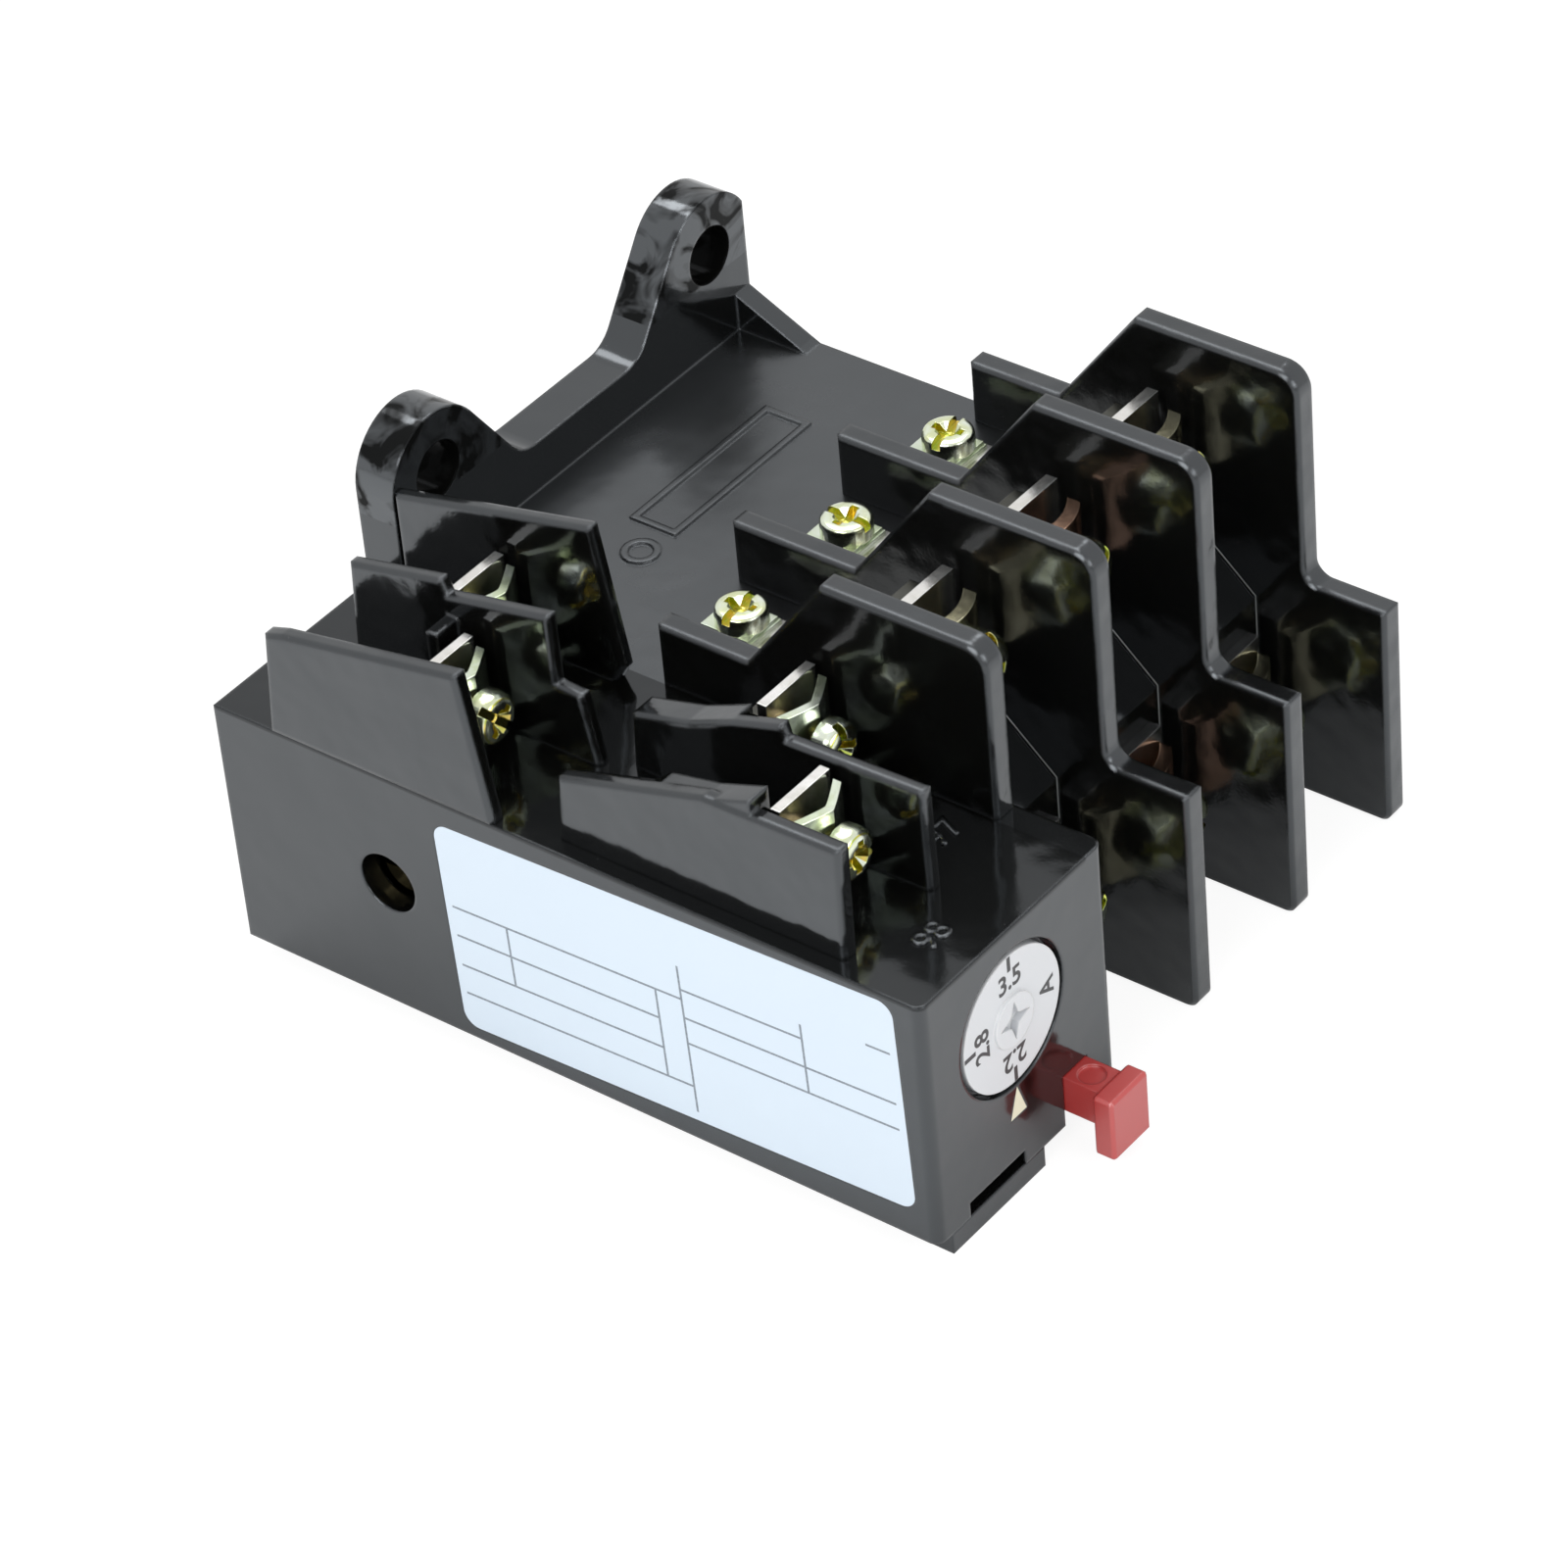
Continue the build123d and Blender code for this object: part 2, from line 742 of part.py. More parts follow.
# Upper terminals: an upright plate at the edge of the deck, with a strip back to the deck screw
x_upper_back = x_slope - main_plate_thickness
strip_top = deck_height + main_plate_thickness
with BuildPart() as upper_terminals:
    for pole in range(pole_count):
        y = pole_y(pole)
        plate_middle = (deck_height + upper_plate_top) / 2
        with BuildSketch(across_x(x_upper_back, y, 0)) as face:
            with Locations((0, plate_middle)):
                Rectangle(main_plate_width, upper_plate_top - deck_height)
            with Locations((0, upper_screw_height)):
                RegularPolygon(main_screw_radius + running_gap, fastener_sides, mode=Mode.SUBTRACT)
        extrude(amount=main_plate_thickness)
        with BuildSketch(Plane.XY.offset(deck_height)):
            strip_back = x_deck_screw - terminal_strip_width / 2
            with Locations(((strip_back + x_upper_back) / 2 + edge_round, y)):
                Rectangle(x_upper_back - strip_back + 2 * edge_round, terminal_strip_width)
            with Locations((x_deck_screw, y)):
                RegularPolygon(deck_screw_radius + running_gap, fastener_sides, mode=Mode.SUBTRACT)
        extrude(amount=main_plate_thickness)
upper_terminals.part.label = "upper_terminals"
export_step(upper_terminals.part, "parts/upper_terminals.step")

# Lower terminals: a plate on the front of the pole block, with a tail through the wall
with BuildPart() as lower_terminals:
    for pole in range(pole_count):
        y = pole_y(pole)
        with BuildSketch(across_x(x_pole, y, 0)):
            with Locations((0, (lower_plate_bottom + lower_plate_top) / 2)):
                Rectangle(main_plate_width, lower_plate_top - lower_plate_bottom)
            with Locations((0, lower_screw_height)):
                RegularPolygon(main_screw_radius + running_gap, fastener_sides, mode=Mode.SUBTRACT)
        extrude(amount=main_plate_thickness)
        block(
            (x_pole - roof - nut_size, x_pole + main_plate_thickness),
            (y - terminal_strip_width / 2, y + terminal_strip_width / 2),
            (lower_plate_bottom, lower_plate_bottom + main_plate_thickness),
        )
lower_terminals.part.label = "lower_terminals"
export_step(lower_terminals.part, "parts/lower_terminals.step")


def saddle(x, y, z, width, height, rise, hole_radius, bends):
    """Clamp washer pressed into flats, whose two edges stand on the plate at x and whose middle is flat."""
    step = pi / (bends + 1)
    turns = [step * count - pi / 2 for count in range(bends + 2)]
    arches = []
    for half, depth in ((width / 2, rise + saddle_thickness), (width / 2 - saddle_thickness, rise)):
        arches.append([(x + depth * cos(turn) / cos(step / 2), y + half * sin(turn)) for turn in turns])
    outer, inner = arches
    with BuildSketch(Plane.XY.offset(z - height / 2)) as section:
        with BuildLine():
            Polyline(*outer, *reversed(inner), close=True)
        make_face()
    extrude(section.sketch, amount=height)
    fastener_bar(across_x(x, y, z), hole_radius, rise + 2 * saddle_thickness, mode=Mode.SUBTRACT)


def ring(plane, outer_radius, inner_radius, length):
    """Round washer from a plane along its normal."""
    with BuildSketch(plane) as section:
        Circle(outer_radius)
        Circle(inner_radius, mode=Mode.SUBTRACT)
    extrude(section.sketch, amount=length)


def fastener_ring(plane, outer_radius, inner_radius, length):
    """Washer or insert of a fixed fastener, drawn with flats as the fasteners are."""
    with BuildSketch(plane) as section:
        RegularPolygon(outer_radius, fastener_sides)
        RegularPolygon(inner_radius, fastener_sides, mode=Mode.SUBTRACT)
    extrude(section.sketch, amount=length)


def square_piece(plane, size, hole_radius, thickness):
    """Square nut or washer from a plane along its normal."""
    with BuildSketch(plane) as section:
        Rectangle(size, size)
        RegularPolygon(hole_radius, fastener_sides, mode=Mode.SUBTRACT)
    extrude(section.sketch, amount=thickness)


def screw(plane, head_radius, head_height, shank_radius, shank_length):
    """Screw whose head stands on a plane, narrower at its top, and whose shank runs back from the plane."""
    crown_start = head_height * head_straight_share
    fastener_bar(plane, head_radius, crown_start)
    with BuildSketch(plane.offset(crown_start)) as crown_foot:
        RegularPolygon(head_radius, fastener_sides)
    with BuildSketch(plane.offset(head_height)) as crown_top:
        RegularPolygon(head_radius * head_top_share, fastener_sides)
    loft([crown_foot.sketch, crown_top.sketch])
    fastener_bar(plane.offset(-shank_length), shank_radius, shank_length)


x_lower_face = x_pole + main_plate_thickness
main_stations = {
    "upper": [(x_slope, pole_y(pole), upper_screw_height) for pole in range(pole_count)],
    "lower": [(x_lower_face, pole_y(pole), lower_screw_height) for pole in range(pole_count)],
}
open_gaps = {"upper": upper_open_gap, "lower": 0}
main_bulge = main_saddle_rise + saddle_thickness
aux_bulge = aux_open_gap + aux_saddle_rise + saddle_thickness
aux_stations = [(x, y, aux_screw_z) for x, y in aux_places.values()]

# The screws of the upper row and of the auxiliary terminals are backed out, as the relay is delivered
for row, stations in main_stations.items():
    saddle_gap = open_gaps[row]
    with BuildPart() as clamp_washers:
        for x, y, z in stations:
            saddle(
                x + saddle_gap,
                y,
                z,
                main_saddle_width,
                main_saddle_height,
                main_saddle_rise,
                main_screw_radius + running_gap,
                main_saddle_bends,
            )
    clamp_washers.part.label = f"{row}_clamp_washers"
    export_step(clamp_washers.part, f"parts/{row}_clamp_washers.step")

    with BuildPart() as lock_washers:
        for x, y, z in stations:
            fastener_ring(
                across_x(x + saddle_gap + main_bulge, y, z),
                main_head_radius - running_gap,
                main_screw_radius + running_gap,
                lock_washer_thickness,
            )
    lock_washers.part.label = f"{row}_lock_washers"
    export_step(lock_washers.part, f"parts/{row}_lock_washers.step")

    with BuildPart() as main_screws:
        for x, y, z in stations:
            head_x = x + saddle_gap + main_bulge + lock_washer_thickness
            shank = head_x - x + main_plate_thickness + nut_thickness
            screw(across_x(head_x, y, z), main_head_radius, main_head_height, main_screw_radius, shank)
    main_screws.part.label = f"{row}_terminal_screws"
    export_step(main_screws.part, f"parts/{row}_terminal_screws.step")

with BuildPart() as upper_nuts:
    for x, y, z in main_stations["upper"]:
        nut_back = across_x(x - main_plate_thickness - nut_thickness, y, z)
        square_piece(nut_back, nut_size, main_screw_radius + fit_gap, nut_thickness)
upper_nuts.part.label = "upper_nuts"
export_step(upper_nuts.part, "parts/upper_nuts.step")

with BuildPart() as lower_inserts:
    for x, y, z in main_stations["lower"]:
        insert_back = across_x(x_pole - insert_length, y, z)
        fastener_ring(insert_back, insert_radius, main_screw_radius + fit_gap, insert_length)
lower_inserts.part.label = "lower_inserts"
export_step(lower_inserts.part, "parts/lower_inserts.step")

# Deck screws that clamp the strips of the upper terminals and the bimetal brackets under the deck
with BuildPart() as square_washers:
    for pole in range(pole_count):
        washer_foot = Plane(origin=(x_deck_screw, pole_y(pole), strip_top))
        hole_radius = deck_screw_radius + running_gap
        square_piece(washer_foot, square_washer_size, hole_radius, square_washer_thickness)
square_washers.part.label = "square_washers"
export_step(square_washers.part, "parts/square_washers.step")

bracket_z = z_roof - bracket_thickness
with BuildPart() as deck_screws:
    for pole in range(pole_count):
        head_z = strip_top + square_washer_thickness
        head_foot = Plane(origin=(x_deck_screw, pole_y(pole), head_z))
        screw(head_foot, deck_head_radius, deck_head_height, deck_screw_radius - fit_gap, head_z - bracket_z)
deck_screws.part.label = "deck_screws"
export_step(deck_screws.part, "parts/deck_screws.step")

# Bimetal strips that hang beside their brackets, one for each pole
x_strip = (x_deck_screw - bimetal_width / 2, x_deck_screw + bimetal_width / 2)
for pole in range(pole_count):
    y_strip = pole_y(pole) + bimetal_offset
    strip_y = (y_strip - bimetal_thickness / 2, y_strip + bimetal_thickness / 2)
    with BuildPart() as bimetal:
        block(x_strip, strip_y, (bimetal_bottom, bimetal_top))
    bimetal.part.label = f"bimetal_{pole + 1}"
    export_step(bimetal.part, f"parts/bimetal_{pole + 1}.step")

with BuildPart() as bimetal_brackets:
    for pole in range(pole_count):
        y_leg = pole_y(pole) + bimetal_offset + bimetal_thickness / 2 + running_gap
        y_foot = pole_y(pole) - bimetal_width / 2
        block(x_strip, (y_foot, y_leg + bracket_thickness), (bracket_z, z_roof))
        block(x_strip, (y_leg, y_leg + bracket_thickness), (bracket_z - bracket_drop, bracket_z))
        under_screw = Plane(origin=(x_deck_screw, pole_y(pole), bracket_z))
        fastener_bar(under_screw, deck_screw_radius, bracket_thickness, mode=Mode.SUBTRACT)
bimetal_brackets.part.label = "bimetal_brackets"
export_step(bimetal_brackets.part, "parts/bimetal_brackets.step")

# Heaters: flat ribbon turns around each bimetal, with leads to its bracket and to the lower terminal
coil_inner_x = bimetal_width / 2 + heater_side_room
coil_inner_y = heater_swing_room
coil_middle = bimetal_offset - heater_shift
lead_half = heater_lead_width / 2
with BuildPart() as heater_windings:
    for pole in range(pole_count):
        y_coil = pole_y(pole) + coil_middle
        for turn in range(heater_turns):
            turn_z = heater_bottom + turn * heater_turn_pitch
            with BuildSketch(Plane.XY.offset(turn_z)):
                with Locations((x_deck_screw, y_coil)):
                    Rectangle(2 * (coil_inner_x + heater_ribbon), 2 * (coil_inner_y + heater_ribbon))
                    Rectangle(2 * coil_inner_x, 2 * coil_inner_y, mode=Mode.SUBTRACT)
            extrude(amount=heater_turn_height)
            if turn < heater_turns - 1:
                side = 1 if turn % 2 else -1
                link_start = x_deck_screw + side * coil_inner_x
                block(
                    (link_start, link_start + side * heater_ribbon),
                    (y_coil - lead_half, y_coil + lead_half),
                    (turn_z + heater_turn_height, turn_z + heater_turn_pitch),
                )
        coil_top = heater_bottom + (heater_turns - 1) * heater_turn_pitch + heater_turn_height
        block(
            (x_deck_screw - lead_half, x_deck_screw + lead_half),
            (y_coil + coil_inner_y, y_coil + coil_inner_y + heater_ribbon),
            (coil_top, bracket_z - bracket_drop),
        )
        lead_end = x_pole - roof - nut_size + heater_lead_overlap
        block(
            (x_deck_screw + coil_inner_x + heater_ribbon, lead_end),
            (y_coil - lead_half, y_coil + lead_half),
            (heater_bottom, heater_bottom + heater_ribbon),
        )
        block(
            (lead_end - heater_ribbon, lead_end),
            (y_coil - lead_half, y_coil + lead_half),
            (lower_plate_bottom + main_plate_thickness, heater_bottom),
        )
heater_windings.part.label = "heater_windings"
export_step(heater_windings.part, "parts/heater_windings.step")

# The two bars that the bimetals push towards the trip lever
y_compensator = y_side + compensator_place
y_nose = y_compensator + compensator_thickness + push_gap
bar_starts = {"push_bar": y_nose + bar_nose_length, "differential_bar": y_control - differential_bar_reach}
bar_heights = {"push_bar": push_bar_z, "differential_bar": differential_bar_z}
for bar_name, bar_start in bar_starts.items():
    bar_z = bar_heights[bar_name]
    with BuildPart() as bar:
        block(x_bar, (bar_start, y_far - barrier_thickness - bar_end_room), (bar_z, bar_z + bar_thickness))
        if bar_name == "push_bar":
            block((x_bar[0], x_bar[0] + bar_nose_width), (y_nose, bar_start), (bar_z, bar_z + bar_thickness))
        for pole in range(pole_count):
            y_strip = pole_y(pole) + bimetal_offset
            half_slot = bimetal_thickness / 2 + slot_play
            block(
                (x_strip[0] - slot_play, x_strip[1] + slot_play),
                (y_strip - half_slot, y_strip + half_slot),
                (bar_z, bar_z + bar_thickness),
                mode=Mode.SUBTRACT,
            )
    bar.part.label = bar_name
    export_step(bar.part, f"parts/{bar_name}.step")

# Trip lever on its pin, with the compensating strip and the moving contact
arm_half = contact_arm_width / 2
arm_z = (trip_lever_bottom, trip_lever_top)
arm_reach = x_trip + contact_arm_length - contact_length / 2
clamp_x = (x_trip - compensator_clamp_far, x_trip - compensator_clamp_near)
with BuildPart() as trip_lever:
    with BuildSketch(Plane.XY.offset(arm_z[0])):
        with Locations((x_trip, y_trip)):
            Circle(trip_hub_radius)
        with BuildLine():
            Polyline(
                (x_trip, y_trip - arm_half),
                (arm_reach, y_trip - arm_half),
                (arm_reach, y_trip + arm_half),
                (x_trip, y_trip + arm_half),
                (clamp_x[1], y_compensator),
                (clamp_x[0], y_compensator),
                (x_trip - trip_hub_radius, y_trip),
                close=True,
            )
        make_face()
        with Locations((x_trip, y_trip)):
            Circle(pin_radius + fit_gap, mode=Mode.SUBTRACT)
    extrude(amount=arm_z[1] - arm_z[0])
trip_lever.part.label = "trip_lever"
export_step(trip_lever.part, "parts/trip_lever.step")

with BuildPart() as compensating_strip:
    strip_x = (x_deck_screw - bimetal_width / 2, clamp_x[1])
    block(strip_x, (y_compensator, y_compensator + compensator_thickness), (push_bar_z - fit_gap, arm_z[1]))
compensating_strip.part.label = "compensating_strip"
export_step(compensating_strip.part, "parts/compensating_strip.step")

arm_middle = (arm_z[0] + arm_z[1]) / 2
contact_z = (arm_middle - contact_thickness / 2, arm_middle + contact_thickness / 2)
contact_y = (y_trip - contact_thickness / 2, y_trip + contact_thickness / 2)
with BuildPart() as moving_contact:
    block((arm_reach, arm_reach + contact_length), contact_y, contact_z)
moving_contact.part.label = "moving_contact"
export_step(moving_contact.part, "parts/moving_contact.step")

with BuildPart() as trip_pivot_pin:
    with BuildSketch(Plane.XY.offset(arm_z[0] - running_gap - pin_head_height)):
        with Locations((x_trip, y_trip)):
            Circle(pin_head_radius)
    extrude(amount=pin_head_height)
    with BuildSketch(Plane.XY.offset(arm_z[0] - running_gap)):
        with Locations((x_trip, y_trip)):
            Circle(pin_radius)
    extrude(amount=arm_z[1] - arm_z[0] + pin_depth)
trip_pivot_pin.part.label = "trip_pivot_pin"
export_step(trip_pivot_pin.part, "parts/trip_pivot_pin.step")

# Auxiliary terminals: an upright plate through the deck, and below it a leg or a fixed contact finger
leg_z = z_roof - aux_leg_depth
near_finger_y = (contact_y[0] - push_gap - contact_finger, contact_y[0] - push_gap)
far_finger_y = (contact_y[1] + contact_gap, contact_y[1] + contact_gap + contact_finger)
for name, (x, y) in aux_places.items():
    plate_x = (x - aux_plate_thickness, x)
    with BuildPart() as terminal:
        with BuildSketch(across_x(plate_x[0], y, 0)):
            with Locations((0, (leg_z + aux_plate_top) / 2)):
                Rectangle(aux_plate_width, aux_plate_top - leg_z)
            with Locations((0, aux_screw_z)):
                RegularPolygon(aux_screw_radius + running_gap, fastener_sides, mode=Mode.SUBTRACT)
        extrude(amount=aux_plate_thickness)
        if "rear" in name:
            foot_z = (leg_z, leg_z + aux_plate_thickness)
            block((x, x + aux_plate_width), (y - aux_finger, y + aux_finger), foot_z)
        elif "near" in name:
            block(plate_x, near_finger_y, (contact_z[0], leg_z + aux_finger))
            block((arm_reach, x), near_finger_y, contact_z)
        else:
            block(plate_x, (far_finger_y[0], y), (leg_z, leg_z + aux_finger))
            block(plate_x, far_finger_y, (contact_z[0], leg_z + aux_finger))
            block((plate_x[0], arm_reach + contact_length), far_finger_y, contact_z)
    terminal.part.label = name
    export_step(terminal.part, f"parts/{name}.step")

with BuildPart() as aux_clamp_washers:
    for x, y, z in aux_stations:
        saddle(
            x + aux_open_gap,
            y,
            z,
            aux_saddle_width,
            aux_saddle_height,
            aux_saddle_rise,
            aux_screw_radius + running_gap,
            aux_saddle_bends,
        )
aux_clamp_washers.part.label = "aux_clamp_washers"
export_step(aux_clamp_washers.part, "parts/aux_clamp_washers.step")

with BuildPart() as aux_terminal_screws:
    for x, y, z in aux_stations:
        shank = aux_bulge + aux_plate_thickness + aux_nut_thickness
        screw(across_x(x + aux_bulge, y, z), aux_head_radius, aux_head_height, aux_screw_radius, shank)
aux_terminal_screws.part.label = "aux_terminal_screws"
export_step(aux_terminal_screws.part, "parts/aux_terminal_screws.step")

with BuildPart() as aux_nuts:
    for x, y, z in aux_stations:
        nut_back = across_x(x - aux_plate_thickness - aux_nut_thickness, y, z)
        square_piece(nut_back, aux_nut_size, aux_screw_radius + fit_gap, aux_nut_thickness)
aux_nuts.part.label = "aux_nuts"
export_step(aux_nuts.part, "parts/aux_nuts.step")

# Setting dial with its spindle, the cam on it, the friction washer and the clip
x_washer = x_front - front_wall - running_gap - friction_washer_thickness
x_cam = x_washer - running_gap - cam_thickness
x_clip = x_cam - running_gap - clip_thickness
spindle_end = x_clip - clip_thickness
with BuildPart() as setting_dial:
    dial_back = x_front - dial_recess_depth + running_gap
    round_bar(across_x(dial_back, y_dial, dial_height), dial_radius, x_front - dial_back)
    round_bar(across_x(x_front, y_dial, dial_height), hub_radius, hub_rise)
    round_bar(across_x(spindle_end, y_dial, dial_height), spindle_radius, dial_back - spindle_end)
    star = []
    for corner in range(8):
        reach = star_waist_radius if corner % 2 else star_tip_radius
        star.append((reach * cos(corner * pi / 4), reach * sin(corner * pi / 4)))
    with BuildSketch(across_x(x_front + hub_rise - star_depth, y_dial, dial_height)):
        with BuildLine():
            Polyline(*star, close=True)
        make_face()
    extrude(amount=star_depth, mode=Mode.SUBTRACT)
setting_dial.part.label = "setting_dial"
export_step(setting_dial.part, "parts/setting_dial.step")

with BuildPart() as setting_cam:
    with BuildSketch(across_x(x_cam, y_dial, dial_height)):
        with Locations((0, cam_offset)):
            Circle(cam_radius)
        Circle(spindle_radius, mode=Mode.SUBTRACT)
    extrude(amount=cam_thickness)
setting_cam.part.label = "setting_cam"
export_step(setting_cam.part, "parts/setting_cam.step")

with BuildPart() as dial_friction_washer:
    washer_back = across_x(x_washer, y_dial, dial_height)
    ring(washer_back, cam_radius - cam_offset, spindle_radius + running_gap, friction_washer_thickness)
dial_friction_washer.part.label = "dial_friction_washer"
export_step(dial_friction_washer.part, "parts/dial_friction_washer.step")

with BuildPart() as dial_clip:
    ring(across_x(x_clip, y_dial, dial_height), cam_radius - cam_offset, spindle_radius, clip_thickness)
    mouth_depth = (spindle_radius**2 - clip_mouth_half**2) ** 0.5 - fit_gap
    block(
        (x_clip, x_clip + clip_thickness),
        (y_dial - clip_mouth_half, y_dial + clip_mouth_half),
        (dial_height - cam_radius, dial_height - mouth_depth),
        mode=Mode.SUBTRACT,
    )
dial_clip.part.label = "dial_clip"
export_step(dial_clip.part, "parts/dial_clip.step")

with BuildPart() as dial_pointer:
    with BuildSketch(along_x(x_front - pointer_depth)):
        with BuildLine():
            Polyline(
                (y_dial, pointer_top),
                (y_dial - pointer_width / 2, pointer_top - pointer_height),
                (y_dial + pointer_width / 2, pointer_top - pointer_height),
                close=True,
            )
        make_face()
    extrude(amount=pointer_depth)
dial_pointer.part.label = "dial_pointer"
export_step(dial_pointer.part, "parts/dial_pointer.step")

# Adjusting lever under the cam, on a pin between the cheeks
nose_radius_small = cam_thickness / 2
cam_bottom = dial_height + cam_offset - cam_radius
nose_x = x_cam + nose_radius_small
with BuildPart() as adjusting_lever:
    with BuildSketch(facing_y(y_dial + adjuster_width / 2)):
        with Locations((x_adjuster, adjuster_pivot_height)):
            Circle(adjuster_hub_radius)
        with Locations((nose_x, cam_bottom - cam_gap * 2 - nose_radius_small)):
            Circle(nose_radius_small)
        with BuildLine():
            Polyline(
                (x_adjuster, adjuster_pivot_height - adjuster_thickness / 2),
                (nose_x + nose_radius_small, adjuster_pivot_height - adjuster_thickness / 2),
                (nose_x + nose_radius_small, cam_bottom - cam_gap * 2 - nose_radius_small),
                (nose_x - nose_radius_small, cam_bottom - cam_gap * 2 - nose_radius_small),
                (nose_x - nose_radius_small, adjuster_pivot_height + adjuster_thickness / 2),
                (x_adjuster, adjuster_pivot_height + adjuster_thickness / 2),
                close=True,
            )
        make_face()
        with Locations((x_adjuster, adjuster_pivot_height)):
            Circle(pin_radius + fit_gap, mode=Mode.SUBTRACT)
    extrude(amount=adjuster_width)
adjusting_lever.part.label = "adjusting_lever"
export_step(adjusting_lever.part, "parts/adjusting_lever.step")

with BuildPart() as adjusting_pin:
    pin_length = 2 * (cheek_gap + side_wall)
    round_bar(
        Plane(origin=(x_adjuster, y_dial + pin_length / 2, adjuster_pivot_height), z_dir=(0, -1, 0)),
        pin_radius,
        pin_length,
    )
adjusting_pin.part.label = "adjusting_pin"
export_step(adjusting_pin.part, "parts/adjusting_pin.step")

# Reset button: square head, stem through the notch, collar behind the wall and a round tail
stem_top = button_height + stem_height / 2
stem_y = (y_button - stem_width / 2, y_button + stem_width / 2)
stem_z = (button_height - stem_height / 2, stem_top)
with BuildPart() as reset_button:
    head_x = x_front + head_back_gap
    head_y = (y_button - head_width / 2, y_button + head_width / 2)
    head_top = stem_top + head_rise
    block((head_x, head_x + head_thickness), head_y, (head_top - head_height, head_top))
    chamfer(reset_button.edges(), head_bevel)
    block((x_back + stem_back, head_x + head_bevel), stem_y, stem_z)
    collar_front = x_front - front_wall - running_gap
    block(
        (collar_front - collar_thickness, collar_front),
        (stem_y[0] - stem_collar, stem_y[1] + stem_collar),
        stem_z,
    )
    tail_start = x_back + rod_tail
    round_bar(across_x(tail_start, y_button, button_height), rod_radius, x_back + stem_back - tail_start)
    with BuildSketch(Plane.XY.offset(stem_top - mark_rise)):
        with Locations((x_front + head_back_gap / 2, y_button)):
            Circle(thumb_mark_radius)
    extrude(amount=mark_rise, mode=Mode.SUBTRACT)
reset_button.part.label = "reset_button"
export_step(reset_button.part, "parts/reset_button.step")

# Return spring, drawn at the length that it has when the button is pressed
spring_length = stem_back - guide_rib_distance - button_travel - running_gap * 3
spring_middle_radius = rod_radius + spring_clearance + spring_wire / 2
with BuildPart() as reset_spring:
    spring_start = x_back + stem_back - spring_length + spring_wire / 2
    helix_height = spring_length - spring_wire - fit_gap
    with BuildLine() as coil_line:
        Helix(
            pitch=helix_height / spring_turns,
            height=helix_height,
            radius=spring_middle_radius,
            center=(spring_start, y_button, button_height),
            direction=(1, 0, 0),
        )
    with BuildSketch(Plane(origin=coil_line.line @ 0, z_dir=coil_line.line % 0)):
        RegularPolygon(spring_wire / 2, spring_wire_sides)
    sweep(path=coil_line.line)
reset_spring.part.label = "reset_spring"
export_step(reset_spring.part, "parts/reset_spring.step")

# Screw that selects hand or automatic reset, behind the hole in the label face
with BuildPart() as reset_mode_screw:
    head_start = y_side + side_wall + running_gap * 2
    round_bar(
        Plane(origin=(x_mode, head_start + mode_head_height, mode_height), z_dir=(0, -1, 0)),
        mode_head_radius,
        mode_head_height,
    )
    round_bar(
        Plane(origin=(x_mode, y_side + mode_screw_end, mode_height), z_dir=(0, -1, 0)),
        mode_shank_radius,
        y_side + mode_screw_end - head_start - mode_head_height,
    )
    block(
        (x_mode - mode_head_radius, x_mode + mode_head_radius),
        (head_start, head_start + mode_head_height / 2),
        (mode_height - mode_slot_width / 2, mode_height + mode_slot_width / 2),
        mode=Mode.SUBTRACT,
    )
reset_mode_screw.part.label = "reset_mode_screw"
export_step(reset_mode_screw.part, "parts/reset_mode_screw.step")
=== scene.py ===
import math

import bpy
from mathutils import Matrix, Vector


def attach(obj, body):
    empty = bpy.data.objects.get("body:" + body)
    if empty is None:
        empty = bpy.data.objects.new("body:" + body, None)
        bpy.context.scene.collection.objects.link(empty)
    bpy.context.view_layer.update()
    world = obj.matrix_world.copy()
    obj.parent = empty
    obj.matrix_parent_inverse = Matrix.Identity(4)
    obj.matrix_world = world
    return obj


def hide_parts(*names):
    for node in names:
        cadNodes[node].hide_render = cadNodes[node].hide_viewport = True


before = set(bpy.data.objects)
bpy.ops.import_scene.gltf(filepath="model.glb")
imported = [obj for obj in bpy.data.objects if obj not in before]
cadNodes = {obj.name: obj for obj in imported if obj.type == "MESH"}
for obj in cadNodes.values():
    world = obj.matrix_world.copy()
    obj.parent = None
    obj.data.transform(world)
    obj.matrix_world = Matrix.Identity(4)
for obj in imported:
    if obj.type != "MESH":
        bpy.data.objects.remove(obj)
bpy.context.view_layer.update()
mm = 0.001
print("frame loaded:", len(cadNodes), "nodes")


def addNode(tree, kind, inputs=None, **settings):
    node = tree.nodes.new(kind)
    for key, value in settings.items():
        setattr(node, key, value)
    for key, value in (inputs or {}).items():
        if isinstance(value, bpy.types.NodeSocket):
            tree.links.new(value, node.inputs[key])
        else:
            node.inputs[key].default_value = value
    return node


def newGroup(name, kind, inputs, outputs):
    tree = bpy.data.node_groups.new(name, kind)
    for label, socketType, value in inputs:
        socket = tree.interface.new_socket(name=label, in_out="INPUT", socket_type=socketType)
        if value is not None:
            socket.default_value = value
    for label, socketType in outputs:
        tree.interface.new_socket(name=label, in_out="OUTPUT", socket_type=socketType)
    return tree, tree.nodes.new("NodeGroupInput"), tree.nodes.new("NodeGroupOutput")


def objectCoords(tree):
    return addNode(tree, "ShaderNodeTexCoord").outputs["Object"]


def math2(tree, operation, a, b=0.0, clamp=False):
    return addNode(tree, "ShaderNodeMath", {0: a, 1: b}, operation=operation, use_clamp=clamp).outputs[0]


def times(tree, a, b, clamp=False):
    return math2(tree, "MULTIPLY", a, b, clamp)


